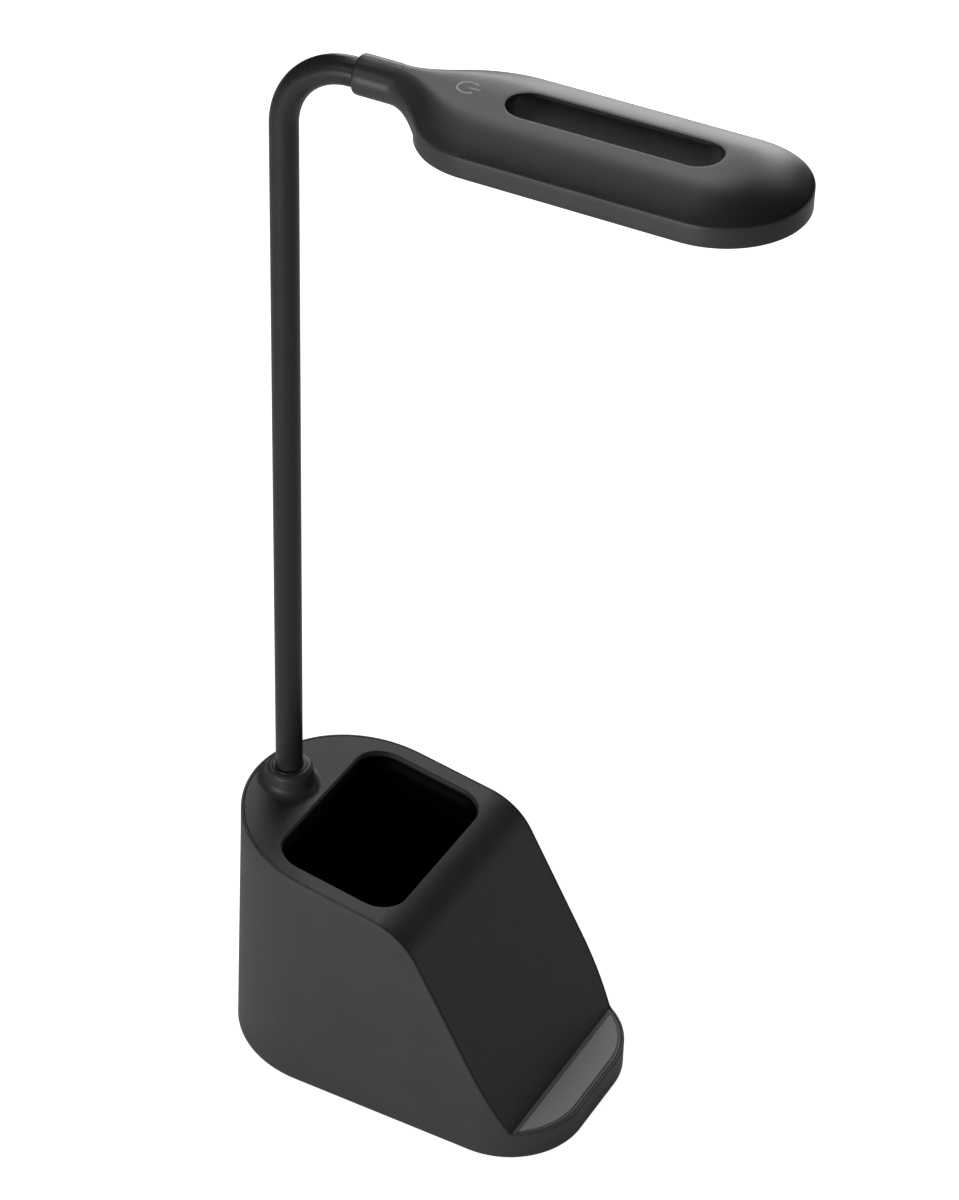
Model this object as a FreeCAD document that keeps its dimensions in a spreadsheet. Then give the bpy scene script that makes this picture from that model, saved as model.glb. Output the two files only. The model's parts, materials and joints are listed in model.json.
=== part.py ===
import FreeCAD, Part
import math
import os
import Sketcher

os.makedirs("parts", exist_ok=True)
doc = FreeCAD.newDocument("DeskLamp")
sheet = doc.addObject("Spreadsheet::Sheet", "Size")
Vector = FreeCAD.Vector

# Driving dimensions in millimetres and degrees. X points to the front, Z up, and the
# origin is on the table under the middle of the base.
SIZES = {
    "base_length": 151.4,
    "base_width": 90.0,
    "front_corner": 31.0,
    "rear_lean": 3.3,
    "loft_spare": 19.6,
    "foot_lift": 0.8,
    "ledge_height": 12.2,
    "ledge_depth": 15.8,
    "crease_radius": 2.5,
    "shoulder_height": 92.4,
    "slope_angle": 60.8,
    "top_tilt": 9.1,
    "shoulder_radius": 25.0,
    "wall": 2.2,
    "rim": 1.0,
    "rim_gap": 0.15,
    "rim_round": 0.4,
    "cover_thickness": 2.0,
    "lip_chamfer": 0.7,
    "cup_setback": 9.2,
    "cup_neck_room": 14.4,
    "cup_side": 7.8,
    "cup_corner": 11.0,
    "cup_wall": 1.6,
    "cup_floor": 15.6,
    "ledge_pad_inset": 2.5,
    "ledge_pad_rear": 1.7,
    "ledge_pad_recess": 0.7,
    "ledge_pad_proud": 0.25,
    "neck_inset": 16.7,
    "neck_radius": 5.1,
    "core_radius": 3.4,
    "boss_rise": 7.935,
    "boss_top_radius": 8.8,
    "boss_foot_radius": 11.0,
    "boss_fillet": 3.6,
    "boss_shoulder": 2.1,
    "ring_radius": 6.6,
    "ring_depth": 1.4,
    "ring_proud": 0.35,
    "sleeve_fit": 0.3,
    "clamp_radius": 9.0,
    "clamp_length": 28.2,
    "clamp_lip": 3.0,
    "nut_radius": 9.2,
    "nut_height": 5.0,
    "core_tail": 7.0,
    "plate_thickness": 2.2,
    "plate_gap": 0.2,
    "pad_inset": 3.5,
    "pad_thickness": 1.2,
    "post_radius": 4.6,
    "post_top": 9.6,
    "post_inset": 6.1,
    "post_setback": 35.7,
    "post_angle": 128.6,
    "screw_radius": 1.5,
    "screw_head_radius": 2.5,
    "screw_head_height": 1.2,
    "screw_length": 5.4,
    "weight_neck_room": 13.0,
    "weight_room": 1.7,
    "weight_side": 12.0,
    "weight_height": 7.0,
    "battery_radius": 9.2,
    "battery_length": 65.0,
    "battery_room": 2.2,
    "battery_cap_radius": 2.8,
    "battery_cap": 1.0,
    "cradle_height": 8.0,
    "cradle_wall": 1.6,
    "board_length": 23.0,
    "board_width": 28.0,
    "board_thickness": 1.6,
    "board_lift": 2.4,
    "board_post_lead": 7.0,
    "board_post_side": 11.0,
    "board_post_radius": 2.4,
    "board_screw_head": 1.8,
    "socket_width": 9.0,
    "socket_height": 3.2,
    "socket_length": 7.4,
    "socket_wall": 0.35,
    "socket_tongue": 0.7,
    "socket_gap": 0.3,
    "socket_recess": 0.3,
    "chip_length": 6.0,
    "chip_height": 1.2,
    "first_joint_rise": 16.6,
    "last_link": 36.3,
    "ball_radius": 4.2,
    "ball_room": 4.5,
    "link_gap": 1.0,
    "bend_radius": 26.6,
    "bend_step": 40.0,
    "end_length": 8.0,
    "end_core": 14.0,
    "collar_start": 2.4,
    "collar_bevel": 0.7,
    "collar_mouth": 5.5,
    "collar_radius": 7.0,
    "collar_length": 8.0,
    "collar_above_head": 8.9,
    "head_start": 55.7,
    "head_length": 76.75,
    "head_half": 29.35,
    "lamp_height": 417.6,
    "band_height": 7.4,
    "dome_height": 7.4,
    "dome_edge": 39.6,
    "dome_edge_tilt": 35.0,
    "head_wall": 2.0,
    "frame_wall": 2.5,
    "frame_lip": 1.2,
    "frame_lip_height": 0.6,
    "slot_inset": 1.4,
    "slot_front_inset": 0.45,
    "slot_half": 7.9,
    "slot_wall": 1.6,
    "slot_round": 0.9,
    "diffuser_thickness": 2.0,
    "diffuser_gap": 0.15,
    "led_board_rise": 4.7,
    "led_board_thickness": 1.2,
    "led_size": 3.0,
    "led_height": 0.7,
    "led_row": 16.8,
    "stud_radius": 2.4,
    "stud_row": 21.6,
    "stud_inset": 8.1,
    "stud_screw": 1.0,
    "stud_screw_head": 1.9,
    "stud_screw_length": 4.0,
    "blend_overlap": 6.0,
    "blend_bottom": 5.5,
    "blend_top": 6.9,
    "wire_radius": 2.0,
    "symbol_start": 42.4,
    "symbol_radius": 3.9,
    "symbol_stroke": 0.8,
    "symbol_bar": 5.2,
    "symbol_depth": 0.35,
    "symbol_drop": 0.3,
    "symbol_proud": 0.06,
    "symbol_opening": 42.0,
    "electrode_radius": 3.5,
    "electrode_post": 1.2,
    "electrode_thickness": 0.3,
    "electrode_gap": 2.0,
}
for row, (alias, number) in enumerate(SIZES.items(), 1):
    sheet.set(f"A{row}", alias)
    sheet.set(f"B{row}", str(number))
    sheet.setAlias(f"B{row}", alias)
doc.recompute()


# A dimension carries its number and the sheet formula that gives it
class Dim:
    def __init__(self, number, text):
        self.number = number
        self.text = text

    def __add__(self, other):
        other = as_dim(other)
        return Dim(self.number + other.number, f"({self.text} + {other.text})")

    def __sub__(self, other):
        other = as_dim(other)
        return Dim(self.number - other.number, f"({self.text} - {other.text})")

    def __mul__(self, other):
        other = as_dim(other)
        return Dim(self.number * other.number, f"({self.text} * {other.text})")

    def __truediv__(self, other):
        other = as_dim(other)
        return Dim(self.number / other.number, f"({self.text} / {other.text})")

    def __neg__(self):
        return Dim(-self.number, f"(-{self.text})")


def as_dim(value):
    return value if isinstance(value, Dim) else Dim(float(value), repr(value))


def size(alias):
    return Dim(float(sheet.get(alias)), "Size." + alias)


def sine(angle):
    return Dim(math.sin(math.radians(angle.number)), f"sin({angle.text})")


def cosine(angle):
    return Dim(math.cos(math.radians(angle.number)), f"cos({angle.text})")


def tangent(angle):
    return Dim(math.tan(math.radians(angle.number)), f"tan({angle.text})")


def root(value):
    return Dim(math.sqrt(value.number), f"sqrt({value.text})")


def bind(thing, prop, value):
    thing.setExpression(prop, as_dim(value).text)


# Places that follow from the driving dimensions
ZERO = as_dim(0)
HALF_WIDTH = size("base_width") / 2
FRONT_X = size("base_length") / 2
REAR_X = HALF_WIDTH - FRONT_X
FAR = size("base_length") * 2
SHELL_BOTTOM = size("foot_lift")
LOFT_HEIGHT = size("shoulder_height") + size("loft_spare")
CREASE_X = FRONT_X - size("ledge_depth")
SLOPE_RISE = size("shoulder_height") - size("ledge_height")
SHOULDER_X = CREASE_X - SLOPE_RISE / tangent(size("slope_angle"))
NECK_X = size("neck_inset") - FRONT_X
COVER_AT_NECK = size("shoulder_height") + (SHOULDER_X - NECK_X) * tangent(size("top_tilt"))
BOSS_TOP = COVER_AT_NECK + size("boss_rise")
CLAMP_BOTTOM = BOSS_TOP - size("clamp_length")
HEAD_BOTTOM = size("lamp_height") - size("dome_height") - size("band_height")
BAND_TOP = HEAD_BOTTOM + size("band_height")
COLLAR_Z = HEAD_BOTTOM + size("collar_above_head")
BEND_Z = COLLAR_Z - size("bend_radius")
BEND_X = NECK_X + size("bend_radius")
HEAD_REAR = BEND_X + size("head_start")
HEAD_FRONT = HEAD_REAR + size("head_length")
SYMBOL_X = BEND_X + size("symbol_start")


# Sketches: a closed outline given corner by corner, each coordinate held by its own formula
def sketch_on(body, plane, lift=ZERO, across=ZERO, up=ZERO):
    sketch = body.newObject("Sketcher::SketchObject", "Sketch")
    support = [f for f in body.Origin.OriginFeatures if f.Role == plane][0]
    sketch.AttachmentSupport = [(support, "")]
    sketch.MapMode = "FlatFace"
    for axis, value in (("x", across), ("y", up), ("z", lift)):
        bind(sketch, "AttachmentOffset.Base." + axis, value)
    return sketch


def hold(sketch, geometry, point, x, y):
    for kind, value in (("DistanceX", x), ("DistanceY", y)):
        index = sketch.addConstraint(Sketcher.Constraint(kind, -1, 1, geometry, point, value.number))
        sketch.setExpression(f"Constraints[{index}]", value.text)


def hold_radius(sketch, geometry, radius):
    index = sketch.addConstraint(Sketcher.Constraint("Radius", geometry, radius.number))
    sketch.setExpression(f"Constraints[{index}]", radius.text)


def arc_between(start, end, radius, turn):
    chord = end - start
    middle = (start + end) * 0.5
    side = Vector(-chord.y, chord.x, 0).normalize() * turn
    depth = math.sqrt(max(radius ** 2 - (chord.Length / 2) ** 2, 0))
    centre = middle + side * depth
    circle = Part.Circle(centre, Vector(0, 0, 1), radius)
    first, last = (start, end) if turn > 0 else (end, start)
    angles = [math.atan2(p.y - centre.y, p.x - centre.x) for p in (first, last)]
    return Part.ArcOfCircle(circle, angles[0], angles[1])


# A corner is (x, y) before a straight side, or (x, y, radius, turn) before an arc
def outline(sketch, corners):
    points = [Vector(c[0].number, c[1].number, 0) for c in corners]
    first = sketch.GeometryCount
    ends = []
    for k, corner in enumerate(corners):
        start, end = points[k], points[(k + 1) % len(points)]
        if len(corner) == 2:
            sketch.addGeometry(Part.LineSegment(start, end))
            ends.append((1, 2))
        else:
            sketch.addGeometry(arc_between(start, end, corner[2].number, corner[3]))
            ends.append((1, 2) if corner[3] > 0 else (2, 1))
    for k, corner in enumerate(corners):
        following = (k + 1) % len(corners)
        sketch.addConstraint(Sketcher.Constraint(
            "Coincident", first + k, ends[k][1], first + following, ends[following][0]))
        hold(sketch, first + k, ends[k][0], corner[0], corner[1])
        if len(corner) == 4:
            hold_radius(sketch, first + k, corner[2])
    return sketch


def ring(sketch, x, y, radius):
    circle = Part.Circle(Vector(x.number, y.number, 0), Vector(0, 0, 1), radius.number)
    index = sketch.addGeometry(circle)
    hold(sketch, index, 3, x, y)
    hold_radius(sketch, index, radius)
    return sketch


def rectangle(x_low, x_high, y_low, y_high):
    return [(x_low, y_low), (x_high, y_low), (x_high, y_high), (x_low, y_high)]


def rounded(x_low, x_high, y_low, y_high, radius):
    return [(x_low + radius, y_low), (x_high - radius, y_low, radius, 1),
            (x_high, y_low + radius), (x_high, y_high - radius, radius, 1),
            (x_high - radius, y_high), (x_low + radius, y_high, radius, 1),
            (x_low, y_high - radius), (x_low, y_low + radius, radius, 1)]


def stadium(x_low, x_high, radius, middle=ZERO):
    low, high = middle - radius, middle + radius
    return [(x_low, low), (x_high, low, radius, 1), (x_high + radius, middle, radius, 1),
            (x_high, high), (x_low, high, radius, 1), (x_low - radius, middle, radius, 1)]


# Bodies and their features
def new_body(label):
    body = doc.addObject("PartDesign::Body", label)
    body.Label = label
    return body


def pad(body, sketch, length, both=False):
    feature = body.newObject("PartDesign::Pad", "Pad")
    feature.Profile = sketch
    feature.SideType = "Symmetric" if both else "One side"
    bind(feature, "Length", length)
    doc.recompute()
    return feature


def pocket(body, sketch, length=None, both=False, upward=True):
    before = body.Shape.Volume
    feature = body.newObject("PartDesign::Pocket", "Pocket")
    feature.Profile = sketch
    feature.SideType = "Symmetric" if both else "One side"
    feature.Reversed = upward
    if length is None:
        feature.Type = "ThroughAll"
    else:
        bind(feature, "Length", length)
    doc.recompute()
    if not body.Shape.Volume < before:
        raise ValueError(f"a pocket of {body.Label} removes nothing")
    return feature


def turned(body, sketch, kind="PartDesign::Revolution", axis="V_Axis"):
    feature = body.newObject(kind, "Turned")
    feature.Profile = sketch
    feature.ReferenceAxis = (sketch, [axis])
    feature.Angle = 360
    doc.recompute()
    return feature


def lofted(body, low, high, kind="PartDesign::AdditiveLoft"):
    feature = body.newObject(kind, "Loft")
    feature.Profile = low
    feature.Sections = [high]
    feature.Ruled = True
    doc.recompute()
    return feature


def dressed(body, kind, prop, value, chosen):
    base = body.Tip
    names = [f"Edge{k + 1}" for k, edge in enumerate(base.Shape.Edges) if chosen(edge)]
    feature = body.newObject(kind, "Dressed")
    feature.Base = (base, names)
    bind(feature, prop, value)
    doc.recompute()
    return feature


def combined(kind, label, first, *others):
    thing = doc.addObject(kind, label)
    thing.Label = label
    if kind == "Part::Cut":
        thing.Base = first
        thing.Tool = others[0]
    else:
        thing.Shapes = [first, *others]
    doc.recompute()
    return thing


def fused(label, *shapes):
    return combined("Part::MultiFuse", label, *shapes)


def shared(label, *shapes):
    return combined("Part::MultiCommon", label, *shapes)


def cut(label, base, tool):
    return combined("Part::Cut", label, base, tool)


def placed(thing, x=ZERO, y=ZERO, z=ZERO, rotation=None):
    if rotation is not None:
        thing.Placement = FreeCAD.Placement(Vector(), rotation)
    for axis, value in (("x", x), ("y", y), ("z", z)):
        bind(thing, "Placement.Base." + axis, value)
    return thing


def box(label, x_low, x_high, y_low, y_high, z_low, z_high):
    thing = doc.addObject("Part::Box", label)
    thing.Label = label
    bind(thing, "Length", x_high - x_low)
    bind(thing, "Width", y_high - y_low)
    bind(thing, "Height", z_high - z_low)
    return placed(thing, x_low, y_low, z_low)


def cylinder(label, radius, height, x, y, z, rotation=None):
    thing = doc.addObject("Part::Cylinder", label)
    thing.Label = label
    bind(thing, "Radius", radius)
    bind(thing, "Height", height)
    return placed(thing, x, y, z, rotation)


def sphere(label, radius, x, z):
    thing = doc.addObject("Part::Sphere", label)
    thing.Label = label
    bind(thing, "Radius", radius)
    return placed(thing, x, ZERO, z)


nodes = []


def keep(thing, name):
    thing.Label = name
    nodes.append(thing)
    return thing


# Plan of the base: half a circle at the rear, wide corners at the front
def plan(inset, lean=ZERO):
    width, front = HALF_WIDTH - inset, FRONT_X - inset
    corner, rear = size("front_corner") - inset, REAR_X + lean
    return [(front - corner, -width, corner, 1), (front, corner - width),
            (front, width - corner, corner, 1), (front - corner, width),
            (rear, width, width, 1), (rear - width, ZERO, width, 1), (rear, -width)]


def base_block(label, inset):
    body = new_body(label)
    low = outline(sketch_on(body, "XY_Plane", SHELL_BOTTOM), plan(inset))
    high = outline(sketch_on(body, "XY_Plane", LOFT_HEIGHT + SHELL_BOTTOM),
                   plan(inset, size("rear_lean")))
    lofted(body, low, high)
    return body


# Side profile of the base, seen from its right: ledge, slope, round shoulder, tilted top
def side_points(depth, crease=None):
    slope, tilt = size("slope_angle"), size("top_tilt")
    rise, fall = (slope + tilt) / 2, (slope - tilt) / 2
    corner_x = SHOULDER_X - depth * sine(rise) / cosine(fall)
    corner_z = size("shoulder_height") - depth * cosine(rise) / cosine(fall)
    radius = size("shoulder_radius") - depth
    run = radius * tangent(fall)
    ledge = size("ledge_height") - depth
    crease_x = CREASE_X - depth * tangent(slope / 2)
    points = [(FAR, ledge)]
    if crease is None:
        points.append((crease_x, ledge))
    else:
        turn = crease * tangent(slope / 2)
        points.append((crease_x + turn, ledge, crease, -1))
        points.append((crease_x - turn * cosine(slope), ledge + turn * sine(slope)))
    points.append((corner_x + run * cosine(slope), corner_z - run * sine(slope), radius, 1))
    points.append((corner_x - run * cosine(tilt), corner_z + run * sine(tilt)))
    points.append((-FAR, corner_z + (corner_x + FAR) * tangent(tilt)))
    return points


def cut_above(body, depth, crease=None):
    sketch = sketch_on(body, "XZ_Plane")
    outline(sketch, side_points(depth, crease) + [(-FAR, FAR), (FAR, FAR)])
    pocket(body, sketch, both=True)


def cut_below(body, depth):
    sketch = sketch_on(body, "XZ_Plane")
    outline(sketch, side_points(depth) + [(-FAR, -FAR), (FAR, -FAR)])
    pocket(body, sketch, both=True)


# Outer shell: thin rim round the cover, thicker wall under it
rim_wall = base_block("rim_wall", ZERO)
low = outline(sketch_on(rim_wall, "XY_Plane", SHELL_BOTTOM), plan(size("rim")))
high = outline(sketch_on(rim_wall, "XY_Plane", LOFT_HEIGHT + SHELL_BOTTOM),
               plan(size("rim"), size("rear_lean")))
lofted(rim_wall, low, high, "PartDesign::SubtractiveLoft")
cut_above(rim_wall, ZERO, size("crease_radius"))

seat_wall = base_block("seat_wall", size("rim") / 2)
low = outline(sketch_on(seat_wall, "XY_Plane", SHELL_BOTTOM), plan(size("wall")))
high = outline(sketch_on(seat_wall, "XY_Plane", LOFT_HEIGHT + SHELL_BOTTOM),
               plan(size("wall"), size("rear_lean")))
lofted(seat_wall, low, high, "PartDesign::SubtractiveLoft")
cut_above(seat_wall, size("cover_thickness"))

PLATE_TOP = SHELL_BOTTOM + size("plate_thickness")
POST_ARM = HALF_WIDTH - size("post_inset")
POSTS = [(x, y * side) for x, y in (
    (FRONT_X - size("post_setback"), POST_ARM),
    (REAR_X + POST_ARM * cosine(size("post_angle")), POST_ARM * sine(size("post_angle"))))
         for side in (-1, 1)]
posts = []
for number, (x, y) in enumerate(POSTS):
    post = new_body(f"post_{number}")
    pad(post, ring(sketch_on(post, "XY_Plane", PLATE_TOP), x, y, size("post_radius")),
        size("post_top") - PLATE_TOP)
    pocket(post, ring(sketch_on(post, "XY_Plane", PLATE_TOP), x, y, size("screw_radius")),
           size("screw_length"))
    posts.append(post)
wall_tower = fused("wall_tower", rim_wall, seat_wall, *posts)

BOARD_Z = PLATE_TOP + size("board_lift")
SOCKET_Z = BOARD_Z + size("board_thickness")
socket_cut = new_body("socket_cut")
socket_middle = SOCKET_Z + size("socket_height") / 2
socket_reach = (size("socket_width") - size("socket_height")) / 2
sketch = outline(sketch_on(socket_cut, "YZ_Plane", -size("base_length")),
                 stadium(-socket_reach, socket_reach, size("socket_height") / 2 + size("socket_gap"),
                         socket_middle))
pad(socket_cut, sketch, size("base_length") + NECK_X)
keep(cut("shell_node", wall_tower, socket_cut), "outer_shell")

# Top cover: one bent plate with the neck boss, an opening for the cup and a ledge recess
strip = new_body("cover_strip")
sketch = sketch_on(strip, "XZ_Plane")
outer = side_points(ZERO)
inner = side_points(size("cover_thickness"))
back = []
for k in range(len(inner) - 1, -1, -1):
    corner = inner[k]
    if k and len(inner[k - 1]) == 4:
        back.append((corner[0], corner[1], inner[k - 1][2], -inner[k - 1][3]))
    else:
        back.append((corner[0], corner[1]))
outline(sketch, outer + back)
pad(strip, sketch, size("base_width") * 2, both=True)

boss = sketch_on(strip, "XZ_Plane", across=NECK_X)
outline(boss, [(ZERO, size("shoulder_height")), (size("boss_foot_radius"), size("shoulder_height")),
               (size("boss_top_radius"), BOSS_TOP), (ZERO, BOSS_TOP)])
turned(strip, boss)
cut_below(strip, size("cover_thickness"))


EDGE_SHARES = (0.1, 0.37, 0.63, 0.9)


# Height of the tilted top and of the round shoulder over a point of the plan
def top_height(x):
    tilt, radius = size("top_tilt"), size("shoulder_radius")
    reach = radius * tangent((size("slope_angle") - tilt) / 2)
    tangent_x = SHOULDER_X - reach * cosine(tilt)
    if x <= tangent_x.number:
        return (size("shoulder_height") + (SHOULDER_X - x) * tangent(tilt)).number
    middle_x = tangent_x - radius * sine(tilt)
    middle_z = size("shoulder_height") + reach * sine(tilt) - radius * cosine(tilt)
    return middle_z.number + math.sqrt(radius.number ** 2 - (x - middle_x.number) ** 2)


def from_neck(point):
    return math.hypot(point.x - NECK_X.number, point.y)


def samples(edge):
    first, last = edge.ParameterRange
    return [edge.valueAt(first + (last - first) * share) for share in EDGE_SHARES]


def boss_foot(edge):
    limit = size("boss_foot_radius").number + size("rim").number
    return all(from_neck(p) < limit and abs(p.z - top_height(p.x)) < size("rim_gap").number
               for p in samples(edge))


def boss_crown(edge):
    return all(abs(p.z - BOSS_TOP.number) < size("rim_gap").number for p in samples(edge))


dressed(strip, "PartDesign::Fillet", "Radius", size("boss_fillet"), boss_foot)
dressed(strip, "PartDesign::Fillet", "Radius", size("boss_shoulder"), boss_crown)

CUP_SIDE = HALF_WIDTH - size("cup_side")
CUP = (NECK_X + size("cup_neck_room"), SHOULDER_X - size("cup_setback"), -CUP_SIDE, CUP_SIDE)
pocket(strip, outline(sketch_on(strip, "XY_Plane"), rounded(*CUP, size("cup_corner"))))


def cup_lip(edge):
    room = size("rim_gap").number
    return all(CUP[0].number - room < p.x < CUP[1].number + room
               and abs(p.y) < CUP[3].number + room and abs(p.z - top_height(p.x)) < room
               and from_neck(p) > size("boss_foot_radius").number
               for p in samples(edge)) and (edge.Length > size("wall").number)


LEDGE_CORNER = (FRONT_X - size("front_corner"), HALF_WIDTH - size("front_corner"))
PAD_REAR = CREASE_X + size("ledge_pad_rear")
PAD_RADIUS = size("front_corner") - size("ledge_pad_inset")
PAD_REACH = PAD_REAR - LEDGE_CORNER[0]
PAD_Y = LEDGE_CORNER[1] + root(PAD_RADIUS * PAD_RADIUS - PAD_REACH * PAD_REACH)
PAD_FRONT = FRONT_X - size("ledge_pad_inset")
PAD_OUTLINE = [(PAD_REAR, -PAD_Y, PAD_RADIUS, 1), (PAD_FRONT, -LEDGE_CORNER[1]),
               (PAD_FRONT, LEDGE_CORNER[1], PAD_RADIUS, 1), (PAD_REAR, PAD_Y)]
PAD_FLOOR = size("ledge_height") - size("ledge_pad_recess")
pocket(strip, outline(sketch_on(strip, "XY_Plane", PAD_FLOOR), PAD_OUTLINE))
pocket(strip, ring(sketch_on(strip, "XY_Plane"), NECK_X, ZERO, size("neck_radius")))
pocket(strip, ring(sketch_on(strip, "XY_Plane", BOSS_TOP - size("ring_depth")),
                   NECK_X, ZERO, size("ring_radius")))
dressed(strip, "PartDesign::Chamfer", "Size", size("lip_chamfer"), cup_lip)
cover_limit = base_block("cover_limit", size("rim") + size("rim_gap"))
keep(shared("cover_node", strip, cover_limit), "top_cover")

pad_body = new_body("ledge_pad")
pad(pad_body, outline(sketch_on(pad_body, "XY_Plane", PAD_FLOOR), PAD_OUTLINE),
    size("ledge_pad_recess") + size("ledge_pad_proud"))
keep(pad_body, "ledge_pad")

# Pen cup hanging under the cover
cup = new_body("cup")
wall = size("cup_wall")
CUP_OUT = (CUP[0] - wall, CUP[1] + wall, CUP[2] - wall, CUP[3] + wall)
pad(cup, outline(sketch_on(cup, "XY_Plane", size("cup_floor") - wall),
                 rounded(*CUP_OUT, size("cup_corner") + wall)), LOFT_HEIGHT)
pocket(cup, outline(sketch_on(cup, "XY_Plane", size("cup_floor")), rounded(*CUP, size("cup_corner"))))
cut_above(cup, size("cover_thickness"))
keep(cup, "pen_cup")

# Floor of the base: plate, rubber pad, screws, steel weight
plate = new_body("plate")
pad(plate, outline(sketch_on(plate, "XY_Plane", SHELL_BOTTOM), plan(size("wall") + size("plate_gap"))),
    size("plate_thickness"))
board_posts = [(NECK_X + size("board_post_lead"), size("board_post_side") * side)
               for side in (-1, 1)]
for x, y in board_posts:
    post = ring(sketch_on(plate, "XY_Plane", PLATE_TOP), x, y, size("board_post_radius"))
    pad(plate, post, size("board_lift"))
pad_recess = size("pad_thickness") - SHELL_BOTTOM
pocket(plate, outline(sketch_on(plate, "XY_Plane", SHELL_BOTTOM), plan(size("pad_inset"))), pad_recess)
SCREW_Z = SHELL_BOTTOM + pad_recess
for x, y in POSTS:
    pocket(plate, ring(sketch_on(plate, "XY_Plane"), x, y, size("screw_radius")), PLATE_TOP)
    pocket(plate, ring(sketch_on(plate, "XY_Plane"), x, y, size("screw_head_radius")),
           SCREW_Z + size("screw_head_height"))
for x, y in board_posts:
    pocket(plate, ring(sketch_on(plate, "XY_Plane", PLATE_TOP), x, y, size("stud_screw")), size("board_lift"))
keep(plate, "bottom_plate")

rubber = new_body("rubber")
pad(rubber, outline(sketch_on(rubber, "XY_Plane"), plan(size("pad_inset"))), size("pad_thickness"))
keep(rubber, "base_pad")


# A screw standing on its head, or hanging from it
def screw(label, x, y, z, head, head_height, shank, length, hanging=False):
    way = -1 if hanging else 1
    body = new_body(label)
    sketch = sketch_on(body, "XZ_Plane", across=x, lift=-y)
    low, middle, high = z, z + head_height * way, z + (head_height + length) * way
    corners = [(ZERO, low), (head, low), (head, middle), (shank, middle), (shank, high), (ZERO, high)]
    outline(sketch, corners)
    turned(body, sketch)
    return body


bottom_screws = [screw(f"bottom_screw_{k}", x, y, SCREW_Z, size("screw_head_radius"),
                       size("screw_head_height"), size("screw_radius"), size("screw_length"))
                 for k, (x, y) in enumerate(POSTS)]
keep(fused("screws_node", *bottom_screws), "bottom_screws")

cradle_half = size("battery_radius") + size("cradle_wall")
BATTERY_X = CUP_OUT[1] + size("battery_room") + cradle_half
half = HALF_WIDTH - size("weight_side")
weight = box("weight", NECK_X + size("weight_neck_room"),
             BATTERY_X - cradle_half - size("weight_room"), -half, half,
             PLATE_TOP, PLATE_TOP + size("weight_height"))
keep(weight, "counterweight")

# Battery cell across the front of the base, in its cradle
CELL_Z = PLATE_TOP + size("cradle_wall") + size("battery_radius")
cell = new_body("cell")
sketch = sketch_on(cell, "XY_Plane", lift=CELL_Z, across=BATTERY_X)
half = size("battery_length") / 2
outline(sketch, [(ZERO, -half), (size("battery_radius"), -half), (size("battery_radius"), half),
                 (size("battery_cap_radius"), half),
                 (size("battery_cap_radius"), half + size("battery_cap")),
                 (ZERO, half + size("battery_cap"))])
turned(cell, sketch)
keep(cell, "battery_cell")
cradle = new_body("cradle")
run = size("battery_length") / 2 + size("cradle_wall") + size("battery_cap")
pad(cradle, outline(sketch_on(cradle, "XY_Plane", PLATE_TOP),
                    rectangle(BATTERY_X - cradle_half, BATTERY_X + cradle_half, -run, run)),
    size("cradle_height"))
sketch = ring(sketch_on(cradle, "XZ_Plane"), BATTERY_X, CELL_Z, size("battery_radius"))
pocket(cradle, sketch, size("battery_length") + size("battery_cap") + size("battery_cap"), both=True)
keep(cradle, "battery_cradle")

# Control board with the charging socket in the rear wall
half = size("board_width") / 2
board = new_body("board")
pad(board, outline(sketch_on(board, "XY_Plane", BOARD_Z),
                   rectangle(NECK_X - size("board_length") / 2,
                             NECK_X + size("board_length") / 2, -half, half)),
    size("board_thickness"))
half = size("chip_length") / 2
pad(board, outline(sketch_on(board, "XY_Plane", SOCKET_Z),
                   rectangle(NECK_X - half, NECK_X + half, -half, half)),
    size("chip_height"))
for x, y in board_posts:
    pocket(board, ring(sketch_on(board, "XY_Plane"), x, y, size("stud_screw")))
keep(board, "control_board")
board_screws = [screw(f"board_screw_{k}", x, y, SOCKET_Z + size("screw_head_height"),
                      size("board_screw_head"), size("screw_head_height"), size("stud_screw"),
                      size("board_thickness") + size("board_lift"), hanging=True)
                for k, (x, y) in enumerate(board_posts)]
keep(fused("board_screws_node", *board_screws), "board_screws")

socket = new_body("socket")
wall_lean = size("rear_lean") * (socket_middle - SHELL_BOTTOM) / LOFT_HEIGHT
SOCKET_REAR = wall_lean + size("socket_recess") - FRONT_X
thin = size("socket_wall")
tube = size("socket_height") / 2
shell = outline(sketch_on(socket, "YZ_Plane", SOCKET_REAR),
                stadium(-socket_reach, socket_reach, tube, socket_middle))
pad(socket, shell, size("socket_length"))
mouth = outline(sketch_on(socket, "YZ_Plane", SOCKET_REAR),
                stadium(-socket_reach, socket_reach, tube - thin, socket_middle))
pocket(socket, mouth, size("socket_length") - thin - thin)
tongue = size("socket_tongue")
pad(socket, outline(sketch_on(socket, "YZ_Plane", SOCKET_REAR + tongue),
                    rectangle(-socket_reach, socket_reach, socket_middle - tongue / 2,
                              socket_middle + tongue / 2)),
    size("socket_length") - tongue - thin)
keep(socket, "charge_socket")

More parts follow.
